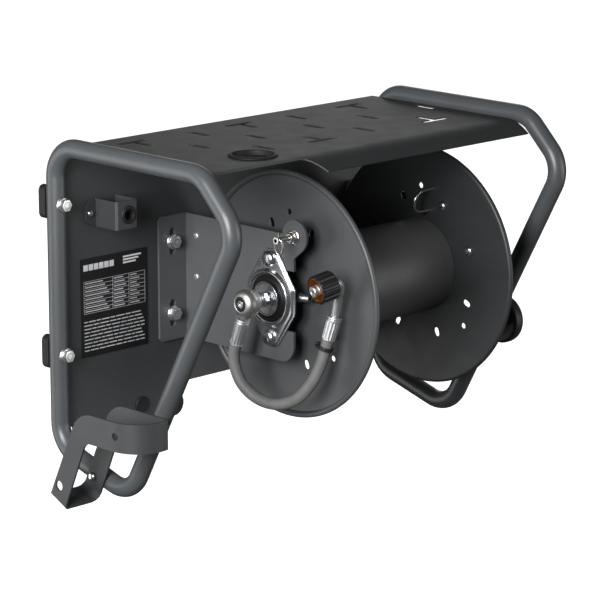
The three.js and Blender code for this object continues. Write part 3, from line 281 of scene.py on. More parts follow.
def softened(name, node, edge):
    """A copy of a CAD node's shape with its facets joined and its edges rounded."""
    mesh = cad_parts[node].data.copy()
    work = bmesh.new()
    work.from_mesh(mesh)
    bmesh.ops.remove_doubles(work, verts=work.verts, dist=WELD)
    bmesh.ops.dissolve_limit(work, angle_limit=math.radians(1), verts=work.verts, edges=work.edges)
    sharp = [e for e in work.edges if len(e.link_faces) == 2 and e.calc_face_angle(0) > BEVEL_ANGLE]
    bmesh.ops.bevel(work, geom=sharp, offset=edge, segments=2, profile=0.6,
                    affect="EDGES", clamp_overlap=True)
    bmesh.ops.recalc_face_normals(work, faces=work.faces)
    work.to_mesh(mesh)
    work.free()
    mesh.materials.clear()
    piece = bpy.data.objects.new(name, mesh)
    bpy.context.scene.collection.objects.link(piece)
    shade(piece)
    return piece


def smooth_route(points, steps):
    """Points along a centripetal Catmull-Rom curve through the given ones."""
    result = []
    count = len(points)
    for i in range(count - 1):
        p0 = points[i - 1] if i else points[0] * 2 - points[1]
        p1, p2 = points[i], points[i + 1]
        p3 = points[i + 2] if i + 2 < count else p2 * 2 - p1
        t1 = (p1 - p0).length ** 0.5
        t2 = t1 + (p2 - p1).length ** 0.5
        t3 = t2 + (p3 - p2).length ** 0.5
        for k in range(steps):
            t = t1 + (t2 - t1) * k / steps
            a1 = p0 * ((t1 - t) / t1) + p1 * (t / t1)
            a2 = p1 * ((t2 - t) / (t2 - t1)) + p2 * ((t - t1) / (t2 - t1))
            a3 = p2 * ((t3 - t) / (t3 - t2)) + p3 * ((t - t2) / (t3 - t2))
            b1 = a1 * ((t2 - t) / t2) + a2 * (t / t2)
            b2 = a2 * ((t3 - t) / (t3 - t1)) + a3 * ((t - t1) / (t3 - t1))
            result.append(b1 * ((t2 - t) / (t2 - t1)) + b2 * ((t - t1) / (t2 - t1)))
    result.append(points[-1])
    return result


def bent_route(corners, radius, steps, closed=False):
    """Points along straight runs whose corners are rounded."""
    result = []
    count = len(corners)
    for i, here in enumerate(corners):
        if not closed and i in (0, count - 1):
            result.append(here)
            continue
        arriving = (here - corners[i - 1]).normalized()
        leaving = (corners[(i + 1) % count] - here).normalized()
        turn = arriving.angle(leaving)
        start = here - arriving * radius * math.tan(turn / 2)
        normal = arriving.cross(leaving).normalized()
        inward = normal.cross(arriving) * radius
        for k in range(steps + 1):
            arm = Matrix.Rotation(turn * k / steps, 3, normal) @ (-inward)
            result.append(start + inward + arm)
    return result


def sweep(name, route, radius, sides, closed=False):
    """Round rod along a route."""
    count = len(route)
    vertices = []
    faces = []
    side = None
    for i, here in enumerate(route):
        ahead = route[(i + 1) % count] if closed or i < count - 1 else here
        behind = route[i - 1] if closed or i else here
        tangent = (ahead - behind).normalized()
        if side is None:
            side = tangent.orthogonal().normalized()
        side = (side - tangent * side.dot(tangent)).normalized()
        across = tangent.cross(side)
        for k in range(sides):
            angle = 2 * math.pi * k / sides
            vertices.append(here + side * radius * math.cos(angle) + across * radius * math.sin(angle))
    last = count if closed else count - 1
    for i in range(last):
        j = (i + 1) % count
        for k in range(sides):
            m = (k + 1) % sides
            faces.append((i * sides + k, i * sides + m, j * sides + m, j * sides + k))
    if not closed:
        faces.append(tuple(range(sides - 1, -1, -1)))
        faces.append(tuple(range((count - 1) * sides, count * sides)))
    return add_mesh(name, vertices, faces)


# ------------------------------------------------------------------ materials
class Nodes:
    """Small helper that adds shader nodes and links them."""

    def __init__(self, name):
        self.material = bpy.data.materials.new(name)
        self.material.use_nodes = True
        self.tree = self.material.node_tree
        self.shader = self.tree.nodes["Principled BSDF"]
        self.place = self.add("ShaderNodeTexCoord").outputs["Object"]

    def add(self, kind, **inputs):
        node = self.tree.nodes.new(kind)
        for key, value in inputs.items():
            node.inputs[key.replace("_", " ")].default_value = value
        return node

    def link(self, source, target):
        self.tree.links.new(source, target)

    def noise(self, scale, detail, roughness=0.55, stretch=None):
        node = self.add("ShaderNodeTexNoise", Scale=scale, Detail=detail, Roughness=roughness)
        source = self.place
        if stretch:
            mapping = self.add("ShaderNodeMapping", Scale=stretch)
            self.link(source, mapping.inputs["Vector"])
            source = mapping.outputs["Vector"]
        self.link(source, node.inputs["Vector"])
        return node.outputs["Fac"]

    def ramp(self, source, stops):
        node = self.add("ShaderNodeValToRGB")
        elements = node.color_ramp.elements
        while len(elements) < len(stops):
            elements.new(0.5)
        for element, (position, colour) in zip(elements, stops):
            element.position = position
            element.color = (*colour, 1)
        self.link(source, node.inputs["Fac"])
        return node.outputs["Color"]

    def span(self, source, low, high):
        node = self.add("ShaderNodeMapRange")
        node.inputs["To Min"].default_value = low
        node.inputs["To Max"].default_value = high
        self.link(source, node.inputs["Value"])
        return node.outputs["Result"]

    def bump(self, source, distance, strength, normal=None):
        node = self.add("ShaderNodeBump", Distance=distance, Strength=strength)
        self.link(source, node.inputs["Height"])
        if normal:
            self.link(normal, node.inputs["Normal"])
        return node.outputs["Normal"]


def scaled(colour, factor):
    return tuple(min(1.0, c * factor) for c in colour)


def powder_coat(name, colour, roughness):
    """Fine-textured powder coat: orange peel, faint cloudiness and a little dust."""
    n = Nodes(name)
    cloud = n.noise(7, 4)
    fleck = n.noise(1500, 2)
    tone = n.ramp(cloud, [(0.25, scaled(colour, 0.86)), (0.75, scaled(colour, 1.12))])
    fine = n.ramp(fleck, [(0.35, (0.86, 0.86, 0.86)), (0.7, (1.12, 1.12, 1.12))])
    blend = n.add("ShaderNodeMixRGB")
    blend.blend_type = "MULTIPLY"
    blend.inputs["Fac"].default_value = 1
    n.link(tone, blend.inputs["Color1"])
    n.link(fine, blend.inputs["Color2"])
    n.link(blend.outputs["Color"], n.shader.inputs["Base Color"])
    n.link(n.span(n.noise(40, 3), roughness - 0.06, roughness + 0.08), n.shader.inputs["Roughness"])
    peel = n.bump(n.noise(650, 2), 0.00012, 0.5)
    n.link(n.bump(fleck, 0.00005, 0.5, peel), n.shader.inputs["Normal"])
    n.shader.inputs["Specular IOR Level"].default_value = 0.5
    return n.material


def metal(name, colour, roughness, grain=(1, 1, 1), grain_scale=300, mottle=0.12, depth=0.00002):
    """Bare or plated metal: cloudy roughness, a fine grain and slight changes of tone."""
    n = Nodes(name)
    tone = n.ramp(n.noise(60, 4), [(0.3, scaled(colour, 1 - mottle)), (0.7, scaled(colour, 1 + mottle))])
    n.link(tone, n.shader.inputs["Base Color"])
    grain_noise = n.noise(grain_scale, 4, 0.6, grain)
    n.link(n.span(grain_noise, roughness * 0.88, roughness * 1.15), n.shader.inputs["Roughness"])
    n.link(n.bump(grain_noise, depth, 0.6), n.shader.inputs["Normal"])
    n.shader.inputs["Metallic"].default_value = 1
    return n.material


def moulded(name, colour, roughness, bump=0.00006, scale=900):
    """Moulded rubber or plastic: fine grain, faint bloom and uneven sheen."""
    n = Nodes(name)
    tone = n.ramp(n.noise(30, 5), [(0.3, scaled(colour, 0.8)), (0.75, scaled(colour, 1.35))])
    n.link(tone, n.shader.inputs["Base Color"])
    n.link(n.span(n.noise(120, 3), roughness - 0.08, roughness + 0.1), n.shader.inputs["Roughness"])
    n.link(n.bump(n.noise(scale, 3), bump, 0.6), n.shader.inputs["Normal"])
    n.shader.inputs["Specular IOR Level"].default_value = 0.32
    return n.material


FRAME_COAT = powder_coat("frame_coat", (0.066, 0.071, 0.075), 0.36)
SHEET_COAT = powder_coat("sheet_coat", (0.036, 0.038, 0.040), 0.52)
SHELF_COAT = powder_coat("shelf_coat", (0.024, 0.026, 0.027), 0.55)
BRACKET_COAT = powder_coat("bracket_coat", (0.078, 0.082, 0.086), 0.45)
STRAP_COAT = powder_coat("strap_coat", (0.036, 0.038, 0.040), 0.50)
DISC_COAT = powder_coat("disc_coat", (0.062, 0.066, 0.070), 0.40)
# Darker copy of the disc coat for the right disc: painted shade, where the left disc and the bracket shade
# it.
PAINTED_SHADE_DISC_COAT = powder_coat("painted_shade_disc_coat", (0.022, 0.024, 0.025), 0.45)
DRUM_COAT = powder_coat("drum_coat", (0.085, 0.086, 0.089), 0.45)
ZINC = metal("bright_zinc", (0.66, 0.67, 0.69), 0.24, mottle=0.05, depth=0.000002)
BOLT_ZINC = metal("bolt_zinc", (0.86, 0.86, 0.87), 0.34, mottle=0.05, depth=0.000004)
# Rougher zinc for the hose outlet nipple, its colour darkened to under half of the bright zinc: painted shade
# where the nipple sits in shade.
ROUGH_ZINC_PAINTED_SHADE = metal("rough_zinc_painted_shade", (0.30, 0.30, 0.30), 0.42)
FERRULE = metal("zinc_ferrule", (0.70, 0.71, 0.72), 0.46, grain_scale=500, mottle=0.06)
STEEL = metal("stainless", (0.68, 0.66, 0.63), 0.24, (1, 12, 12), 200)
ALUMINIUM = metal("cast_aluminium", (0.62, 0.61, 0.58), 0.42, grain_scale=700, depth=0.00006)
BRASS = metal("brass", (0.62, 0.26, 0.06), 0.30)
RUBBER = moulded("black_rubber", (0.010, 0.010, 0.010), 0.55)
SEAL = moulded("bearing_seal", (0.005, 0.005, 0.005), 0.40)
PLASTIC = moulded("black_plastic", (0.014, 0.014, 0.015), 0.38, 0.00004)
KNOB_PLASTIC = moulded("knob_plastic", (0.026, 0.026, 0.027), 0.42, 0.00004)
HOSE = moulded("grey_hose", (0.125, 0.125, 0.123), 0.5, 0.00008, 500)
LABEL = moulded("label_film", (0.005, 0.005, 0.006), 0.55, 0.00001)
LABEL_INK = moulded("label_ink", (0.55, 0.56, 0.57), 0.5, 0.00001)


def finish_piece(piece, material, body, *nodes):
    """Gives a piece its material and its body, and hides the CAD nodes it stands for."""
    weigh_normals(piece)
    piece.data.materials.clear()
    piece.data.materials.append(material)
    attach(piece, body)
    if nodes:
        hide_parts(*nodes)
    return piece


# ------------------------------------------------------------------ jumper hose, first of the pieces
HOSE_DIAMETER = 13.4 * MM
HOSE_POINTS = [Vector(p) * MM for p in (
    (-105, -148.5, -78.1),
    (-105, -145.4, -87.0),
    (-105, -145.0, -97.0),
    (-104.6, -148.2, -108.8),
    (-103.4, -155.6, -121.6),
    (-100.6, -167.0, -131.8),
    (-97.4, -179.5, -137.6),
    (-93.6, -191.2, -139.9),
    (-89.0, -203.6, -139.2),
    (-84.0, -216.6, -134.0),
    (-79.4, -227.0, -125.8),
    (-74.4, -236.2, -112.2),
    (-70.5, -242.5, -98.5),
    (-67.4, -246.0, -86.6),
    (-64.7, -248.4, -73.6),
    (-62.8, -250.9, -62.4),
)]
HOSE_ROUTE = smooth_route(HOSE_POINTS, 6)
COUPLING_MOUTH = Vector((-95, -263.9, 1)) * MM
COUPLING_BACK = Vector((0.968, -0.159, 0.197)).normalized()     # from the mouth towards the pipe
COUPLING_LENGTH = 23
ELBOW_CORNER = 35.7 * MM        # from the mouth to the corner of the bent pipe


def make_hose():
    piece = sweep("jumper_hose_skin", HOSE_ROUTE, HOSE_DIAMETER / 2, 40)
    return finish_piece(piece, HOSE, "frame", "jumper_hose")


def flutes(angle, along):
    """Fine lengthwise flutes pressed into a ferrule, leaving its two ends round."""
    if not 2 < along < 24:
        return 0
    return -0.5 * abs(math.sin(8 * angle))


def make_ferrule(name, node, end, direction, length):
    profile = [(0, 0), (7.2, 0), (7.7, 0.8), (7.8, 2.2), (7.9, 8), (8.1, length - 6), (8.1, length - 3.6),
               (7.5, length - 3.2), (7.5, length - 2.4), (8.3, length - 2), (8.3, length - 0.6),
               (7.8, length), (0, length)]
    piece = lathe(name, rounded(profile, 0.3), end + direction * GAP, direction, 128, flutes)
    return finish_piece(piece, FERRULE, "frame", node)


def make_elbow(last):
    """The bent pipe from the outlet ferrule to the nipple in the coupling's mouth."""
    base = HOSE_ROUTE[-1] + last * 29.5 * MM
    inside = COUPLING_MOUTH + COUPLING_BACK * 14 * MM
    route = bent_route([base, COUPLING_MOUTH + COUPLING_BACK * ELBOW_CORNER, inside], 9.5 * MM, 14)
    pipe = sweep("pipe", route, 4.9 * MM, 40)
    profile = [(0, 6), (2.7, 6), (2.7, -3.7), (3.4, -4.5), (5.2, -4.5), (6.1, -3.4), (6.1, -1), (5, -0.4),
               (5, 1.2), (6.2, 1.8), (6.2, 15.8), (0, 15.8)]
    nipple = turned("nipple", profile, COUPLING_MOUTH, COUPLING_BACK, 48, 0.3)
    return finish_piece(join("elbow_pipe", [pipe, nipple]), FERRULE, "frame", "elbow_fitting")


def make_sleeve():
    """Black grip of the coupling, with ribs along it."""
    ribs = 16
    steps = 12
    end = COUPLING_LENGTH
    # Distance from the mouth, radius between the ribs and radius on the ribs.
    rows = [(0, 14.5, 14.9), (0.7, 15, 15.8), (2.2, 15.2, 16.4), (end - 2.6, 15.2, 16.4),
            (end - 0.8, 14.8, 15.6), (end, 14.4, 14.6), (end, 14.15, 14.15), (0, 14.15, 14.15)]
    turn = Matrix.Translation(COUPLING_MOUTH) @ facing(COUPLING_BACK)
    vertices = []
    faces = []
    ring = ribs * steps
    for row, (along, core, top) in enumerate(rows):
        above = (row + 1) % len(rows)
        for i in range(ring):
            phase = (i % steps) / steps
            rise = min(1, max(0, (0.5 - abs(phase - 0.5)) * 6 - 0.9))
            radius = core + (top - core) * rise
            angle = 2 * math.pi * i / ring
            spot = Vector((radius * math.cos(angle), radius * math.sin(angle), along)) * MM
            vertices.append(turn @ spot)
            j = (i + 1) % ring
            faces.append((row * ring + i, row * ring + j, above * ring + j, above * ring + i))
    finish_piece(add_mesh("coupling_grip", vertices, faces), PLASTIC, "coupling", "coupling_sleeve")


def make_coupling():
    thread = [(11.6 + 0.7 * (k % 2), 2 + 0.75 * k) for k in range(18)]
    profile = [(13.4, 0.5), (12.4, 0.5)] + thread
    profile += [(11.6, 16.5), (5.8, 16.5), (5.8, 22.2), (13.8, 22.2), (13.8, 1.1)]
    nut = lathe("coupling_thread", profile, COUPLING_MOUTH, COUPLING_BACK, 96)
    finish_piece(nut, BRASS, "coupling", "coupling_nut")
    make_sleeve()


def make_hose_tie():
    middle = centre("hose_tie")
    nearest = min(range(1, len(HOSE_ROUTE) - 1), key=lambda i: (HOSE_ROUTE[i] - middle).length)
    here = HOSE_ROUTE[nearest]
    along = (HOSE_ROUTE[nearest + 1] - HOSE_ROUTE[nearest - 1]).normalized()
    side = middle - here
    side = (side - along * side.dot(along)).normalized()
    across = along.cross(side)
    start = here + side * 10.6 * MM
    band = turned("band", [(6.9, -2.2), (8.3, -2.2), (8.3, 2.2), (6.9, 2.2)], here, along, 64, 0.4)
    head = turned("head", [(0, -3.2), (3.6, -3.2), (3.6, 3.2), (0, 3.2)], start, along, 4, 0.5)
    tail = sweep("tail", [start - across * 3 * MM, start + across * 6 * MM], 1.1 * MM, 8)
    return finish_piece(join("hose_tie_band", [band, head, tail]), PLASTIC, "frame", "hose_tie")


def make_jumper_hose():
    """The hose with what is fixed to it."""
    first = (HOSE_ROUTE[0] - HOSE_ROUTE[1]).normalized()
    last = (HOSE_ROUTE[-1] - HOSE_ROUTE[-2]).normalized()
    hose = make_hose()
    make_ferrule("inlet_ferrule_crimped", "inlet_ferrule", HOSE_ROUTE[0], first, 33.5)
    outlet = make_ferrule("outlet_ferrule_crimped", "outlet_ferrule", HOSE_ROUTE[-1], last, 28)
    fittings = [outlet, make_elbow(last), make_hose_tie()]
    make_coupling()


make_jumper_hose()


# ------------------------------------------------------------------ side frames
# The tube's corners in millimetres: how far in front of its rear leg, and how far below its top run.
FRAME_DEPTH = {"front_top": 236, "front": 290, "bottom": 118}
FRAME_DROP = {"front": 54, "bottom": 373.5, "rear_bottom": 339.5}
BEND = 36 * MM


def make_side_frame(node):
    """Closed loop of bent tube in the plane of the node's middle."""
    low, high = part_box(node)
    x = (low.x + high.x) / 2
    leg_y = high.y - TUBE_RADIUS
    top_z = high.z - TUBE_RADIUS
    corners = [
        Vector((x, leg_y, top_z)),
        Vector((x, leg_y - FRAME_DEPTH["front_top"] * MM, top_z)),
        Vector((x, leg_y - FRAME_DEPTH["front"] * MM, top_z - FRAME_DROP["front"] * MM)),
        Vector((x, leg_y - FRAME_DEPTH["bottom"] * MM, top_z - FRAME_DROP["bottom"] * MM)),
        Vector((x, leg_y, top_z - FRAME_DROP["rear_bottom"] * MM)),
    ]
    route = bent_route(corners, BEND, 14, closed=True)
    piece = sweep(node + "_tube", route, TUBE_RADIUS, 40, closed=True)
    finish_piece(piece, FRAME_COAT, "frame", node)


make_side_frame("left_frame")
make_side_frame("right_frame")

# ------------------------------------------------------------------ sheet parts, their edges softened
# CAD nodes that keep their shape: coat and edge radius in millimetres.
SHEETS = {
    "top_shelf": (SHELF_COAT, 0.4),
    "back_panel": (SHEET_COAT, 0.4),
    "left_bracket": (BRACKET_COAT, 0.5),
    "right_bracket": (BRACKET_COAT, 0.5),
    "wand_clip": (SHEET_COAT, 0.4),
    "crank_arm": (SHEET_COAT, 0.6),
    "lance_holder": (STRAP_COAT, 0.5),
}
for sheet_node, (sheet_coat, sheet_edge) in SHEETS.items():
    sheet_body = "reel" if sheet_node == "crank_arm" else "frame"
    sheet_piece = softened(sheet_node + "_sheet", sheet_node, sheet_edge * MM)
    finish_piece(sheet_piece, sheet_coat, sheet_body, sheet_node)

# ------------------------------------------------------------------ reel
DISC_RADIUS = span("left_disc").y / 2
BEAD = 3.4                      # radius of the rolled rim
SHAFT_HOLE = 15.3
SCREW_CIRCLE = 93.5
DISC_HOLES = (90, -42, 222)     # degrees round the disc, from the front upwards
CLAMP_ANGLE = 79


def on_reel(radius, degrees):
    """Point (y, z) at a radius in millimetres, turned from the front upwards."""
    angle = math.radians(degrees)
    return (AXIS.y - radius * MM * math.cos(angle), AXIS.z + radius * MM * math.sin(angle))


LOCK_RADIUS = 82        # from the axis to the middle of a lock slot
LOCK_PHASE = 64.7       # degrees round the disc to the lock pin
LOCK_STEP = 45


def lock_slot(degrees):
    """Slot with round ends, its long way pointing at the axis."""
    half_width = 3.5 * MM
    half_run = 2 * MM
    angle = math.radians(180 - degrees)
    along = Vector((math.cos(angle), math.sin(angle)))
    across = Vector((-along.y, along.x))
    middle = Vector(on_reel(LOCK_RADIUS, degrees))
    points = []
    for end, first in ((1, -90), (-1, 90)):
        for k in range(9):
            turn = math.radians(first + 22.5 * k)
            points.append(middle + along * (end * half_run + half_width * math.cos(turn))
                          + across * half_width * math.sin(turn))
    return [tuple(p) for p in points]


def make_disc(node, x, out, coat):
    """Flat web with its holes, and the rolled rim that stands out on the outer side."""
    holes = [circle(AXIS.y, AXIS.z, SHAFT_HOLE * MM, 48)]
    holes += [lock_slot(LOCK_PHASE % LOCK_STEP + LOCK_STEP * i) for i in range(8)]
    holes += [circle(*on_reel(SCREW_CIRCLE, degrees), 3.4 * MM, 24) for degrees in DISC_HOLES]
    outline = circle(AXIS.y, AXIS.z, DISC_RADIUS - (BEAD - 0.4) * MM, 128)
    web = sheet("web", [outline] + holes, 2 * MM, plane_x(x), 0.25 * MM)
    ring_radius = DISC_RADIUS / MM - BEAD
    profile = [(ring_radius - 4.2, -0.85), (ring_radius - 0.5, -0.85)]
    for k in range(15):
        angle = math.radians(-75 + 240 * k / 14)
        profile.append((ring_radius + BEAD * math.cos(angle), BEAD - 1 + BEAD * math.sin(angle)))
    profile += [(ring_radius - BEAD, 1.6), (ring_radius - 4.2, 0.85)]
    rim = lathe("rim", profile, Vector((x, AXIS.y, AXIS.z)), X * out, 144)
    finish_piece(join(node + "_pressing", [web, rim]), coat, "reel", node)


make_disc("left_disc", LEFT_DISC_X, -1, DISC_COAT)
# The right disc takes the darker copy of the disc coat: painted shade.
make_disc("right_disc", RIGHT_DISC_X, 1, PAINTED_SHADE_DISC_COAT)


def make_drum():
    base = Vector((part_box("drum")[0].x, AXIS.y, AXIS.z))
    length = span("drum").x / MM
    radius = span("drum").y / 2 / MM
    profile = [(radius - 2, 0), (radius, 0), (radius, length), (radius - 2, length)]
    drum = turned("drum_tube", profile, base, X, 128, 0.4)
    finish_piece(drum, DRUM_COAT, "reel", "drum")


make_drum()


def make_shaft():
    """Hollow shaft with its collar on the left end."""
    base = Vector((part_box("shaft")[0].x, AXIS.y, AXIS.z))
    length = span("shaft").x / MM
    profile = [(7, 1.4), (9, 1.4), (17.2, 1.1), (18, 0), (19.4, 0), (19.4, 2), (15, 2.6),
               (15, length - 1), (14, length), (7, length)]
    shaft = turned("shaft_turned", profile, base, X, 96, 0.35)
    finish_piece(shaft, ZINC, "reel", "shaft")


make_shaft()


def make_hose_outlet():
    """Threaded nipple on the shaft for the wound hose."""
    base = Vector((centre("hose_outlet").x, AXIS.y, AXIS.z))
    tilt = math.radians(4)
    direction = Vector((0, -math.cos(tilt), math.sin(tilt)))
    profile = [(0, 15.6), (5.5, 15.6), (5.5, 30), (4.5, 31)]
    thread = [(4.5 - 0.35 * (k % 2), 31 + 0.55 * k) for k in range(24)]
    profile += thread + [(3.6, 45), (2.4, 45), (2.4, 32), (0, 32)]
    piece = lathe("hose_outlet_nipple", profile, base, direction, 40)
    # The nipple takes the darkened copy of the zinc: painted shade.
    finish_piece(piece, ROUGH_ZINC_PAINTED_SHADE, "reel", "hose_outlet")


make_hose_outlet()


def make_hose_clamp():
    """U-bolt inside the right disc, and the disc's two screws."""
    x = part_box("hose_clamp")[1].x
    outer = Vector((x, *on_reel(SCREW_CIRCLE, CLAMP_ANGLE)))
    inner = Vector((x, *on_reel(67, CLAMP_ANGLE)))
    reach = Vector((-26 * MM, 0, 0))
    route = bent_route([outer, outer + reach, inner + reach, inner], 12.5 * MM, 12)
    finish_piece(sweep("hose_clamp_bow", route, 1.9 * MM, 24), STEEL, "reel", "hose_clamp")
    for node in ("disc_screw_front", "disc_screw_top"):
        middle = centre(node)
        seat = Vector((RIGHT_DISC_X - 1.3 * MM, middle.y, middle.z))
        head = turned("head", [(0, 0), (6, 0), (6, 1.1), (5, 2.6), (3, 3.6), (0, 3.8)], seat, -X, 40, 0.5)
        rod = turned("rod", [(0, -9), (2.9, -9), (2.9, 0.5), (0, 0.5)], seat, -X, 24, 0.3)
        nut = hexagon("nut", 10, 4.5, Vector((RIGHT_DISC_X + 1.3 * MM, middle.y, middle.z)), X)
        finish_piece(join(node + "_set", [head, rod, nut]), ZINC, "reel", node)


make_hose_clamp()


# ------------------------------------------------------------------ bolts
HEAD_HEIGHT = 8.1       # of a flange bolt, in millimetres


def flange_bolt(node, body, seat, direction, shank, nut_at=None):
    """Hexagon flange bolt; direction is the way its shank points, and seat is under its head."""
    outward = -direction
    flange = turned("flange", [(0, 0), (8.8, 0), (8.8, 0.9), (7.3, 2.3), (0, 2.7)], seat, outward, 48, 0.4)
    head = hexagon("head", 12.8, HEAD_HEIGHT - 1, seat + outward * 1 * MM, outward, 1.1)
    dimple = turned("dimple", [(3.4, 0), (4.3, 0), (4.3, 0.35), (3.4, 0.35)],
                    seat + outward * (HEAD_HEIGHT - 0.35) * MM, outward, 32, 0.1)
    rod = turned("rod", [(0, -shank), (3.2, -shank), (4, -shank + 1), (4, 1), (0, 1)], seat, outward, 32, 0.2)
    shells = [flange, head, dimple, rod]
    if nut_at:
        shells.append(hexagon("nut", 13, 6.5, nut_at, direction))
    finish_piece(join(node + "_set", shells), BOLT_ZINC, body, node)


def make_bolts():
    for side in ("left", "right"):
        for level in ("top", "bottom"):
            node = f"wall_bolt_{side}_{level}"
            low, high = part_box(node)
            middle = centre(node)
            seat = Vector((middle.x, low.y + HEAD_HEIGHT * MM, middle.z))
            flange_bolt(node, "frame", seat, Y, (high.y - seat.y) / MM)
        panel_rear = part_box("back_panel")[1].y
        for level in ("upper", "lower"):
            node = f"bracket_bolt_{side}_{level}"
            low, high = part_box(node)
            middle = centre(node)
            seat = Vector((middle.x, low.y + HEAD_HEIGHT * MM, middle.z))
            nut_at = Vector((middle.x, panel_rear + GAP, middle.z))
            flange_bolt(node, "frame", seat, Y, (high.y - seat.y) / MM, nut_at)
    outer_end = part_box("crank_bolt")[1].x
    seat = Vector((outer_end - HEAD_HEIGHT * MM, AXIS.y, AXIS.z))
    flange_bolt("crank_bolt", "reel", seat, -X, 20)


make_bolts()


# ------------------------------------------------------------------ bearings
BEARING_BOLT_RADIUS = 45 * MM       # from the axis to each bolt


def lozenge(shrink):
    """Outline of the pressed flange, drawn in by some millimetres: eight sides with round corners."""
    half_end, half_side, tip, side = 9, 14, 56 - shrink, 38 - shrink
    quarter = [(half_end, tip), (side, half_side)]
    signs = [(1, 1), (1, -1), (-1, -1), (-1, 1)]
    corners = []
    for k, (across, up) in enumerate(signs):
        for u, v in (quarter if k % 2 == 0 else reversed(quarter)):
            corners.append(Vector((AXIS.y + across * u * MM, AXIS.z + up * v * MM, 0)))
    return [(p.x, p.y) for p in bent_route(corners, (9 - shrink / 2) * MM, 8, closed=True)]


def make_bearing(side, out):
    """Pressed flange, sealed insert and two bolts; out is the sign of X away from the reel."""
    low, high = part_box(f"{side}_bearing_housing")
    seat_x = high.x if out < 0 else low.x
    seat = Vector((seat_x, AXIS.y, AXIS.z))
    direction = X * out
    bore = circle(AXIS.y, AXIS.z, 27 * MM, 96)
    holes = [circle(AXIS.y, AXIS.z + end * BEARING_BOLT_RADIUS, 5 * MM, 32) for end in (-1, 1)]
    base = sheet("base", [lozenge(0), bore] + holes, 2.2 * MM, plane_x(seat_x + out * 1.1 * MM), 0.7 * MM)
    crown = sheet("crown", [lozenge(3.2), bore] + holes, 3 * MM, plane_x(seat_x + out * 3.1 * MM), 1.2 * MM)
    profile = [(27, 3), (34.3, 3), (33.6, 5), (32.4, 6.4), (31.6, 7.8), (30.6, 8.5), (29.4, 8.4),
               (28.7, 7.4), (28.3, 6.6), (27, 6.4)]
    ring = turned("ring", profile, seat, direction, 128, 0.6)
    housing = join(f"{side}_bearing_pressing", [base, crown, ring])
    finish_piece(housing, ZINC, "frame", f"{side}_bearing_housing")
    profile = [(15.3, -7), (26.7, -7), (26.7, 6.2), (25.4, 7), (23.6, 6.6), (22.6, 7.3),
               (20.4, 7.5), (15.3, 7.5)]
    seal = turned(f"{side}_bearing_seal", profile, seat, direction, 96, 0.4)
    finish_piece(seal, SEAL, "frame", f"{side}_bearing_insert")
    for level, end in (("upper", 1), ("lower", -1)):
        node = f"{side}_bearing_bolt_{level}"
        base = Vector((seat_x + out * 4.9 * MM, AXIS.y, AXIS.z + end * BEARING_BOLT_RADIUS))
        dome = turned("dome", [(0, 0), (9.2, 0), (9.1, 1.6), (8, 3.4), (6, 4.8), (3, 5.5), (0, 5.7)],
                      base, direction, 48, 0.8)
        rod = turned("rod", [(0, -13.5), (4.6, -13.5), (4.6, 1), (0, 1)], base, direction, 32, 0.3)
        nut = hexagon("nut", 16, 5, base - direction * 8.5 * MM, -direction)
        finish_piece(join(node + "_set", [dome, rod, nut]), ZINC, "frame", node)


make_bearing("left", -1)
make_bearing("right", 1)


# ------------------------------------------------------------------ swivel
def make_swivel():
    """Cast body with its seal and plug screw, and the stem that turns in it."""
    face = Vector((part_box("swivel_body")[0].x, AXIS.y, AXIS.z))
    profile = [(0, 3), (6, 3), (7.6, 2.2), (8.4, 0.3), (9.4, 0), (12.2, 1), (14.4, 3), (15.7, 5.8), (16.2, 9),
               (16.1, 11.6), (15.2, 13.6), (14.7, 14.6), (14.9, 15.8), (14.4, 17.8), (12.8, 20), (11.6, 21.6),
               (11.2, 22.6), (10, 24), (0, 24)]
    body = turned("body", profile, face, X, 96, 0.9)
    exit_at = HOSE_ROUTE[0]
    middle = Vector((exit_at.x, AXIS.y, AXIS.z))
    direction = (exit_at - middle).normalized()
    profile = [(0, 4), (9, 4), (9, 12), (7.6, 15.5), (7.6, 17), (0, 17)]
    boss = turned("boss", profile, middle, direction, 48, 0.8)
    finish_piece(join("swivel_casting", [body, boss]), ALUMINIUM, "frame", "swivel_body")
    cap_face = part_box("swivel_cap")[0].x
    cap = turned("swivel_seal", [(4.6, 0.6), (5.4, 0), (7.4, 0), (8.1, 1), (8.1, 3), (4.6, 3)],
                 Vector((cap_face, AXIS.y, AXIS.z)), X, 64, 0.4)
    finish_piece(cap, RUBBER, "frame", "swivel_cap")
    screw_face = Vector((cap_face + 0.9 * MM, AXIS.y, AXIS.z))
    profile = [(2.6, 0), (4.1, 0), (4.3, 0.5), (4.3, 1.8), (0, 1.8), (0, 1.3), (2.6, 1.3)]
    screw = turned("swivel_plug_screw", profile, screw_face, X, 32, 0.2)
    finish_piece(screw, ZINC, "frame")
    base = Vector((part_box("swivel_stem")[0].x, AXIS.y, AXIS.z))
    length = span("swivel_stem").x / MM
    neck_end = length - 8.3
    profile = [(0, 0), (6.6, 0), (6.6, 7.5), (7.6, 7.8), (7.6, 9.6), (6.4, 10), (6.4, 11.4), (8.2, 11.8),
               (8.2, 13.2), (7, 13.6), (7, neck_end), (6.5, neck_end), (6.5, length), (0, length)]
    stem = turned("stem", profile, base, X, 64, 0.25)
    nut = hexagon("nut", 15.2, 4.6, base + X * (neck_end - 5) * MM, X)
    finish_piece(join("swivel_spindle", [stem, nut]), ZINC, "reel", "swivel_stem")


make_swivel()


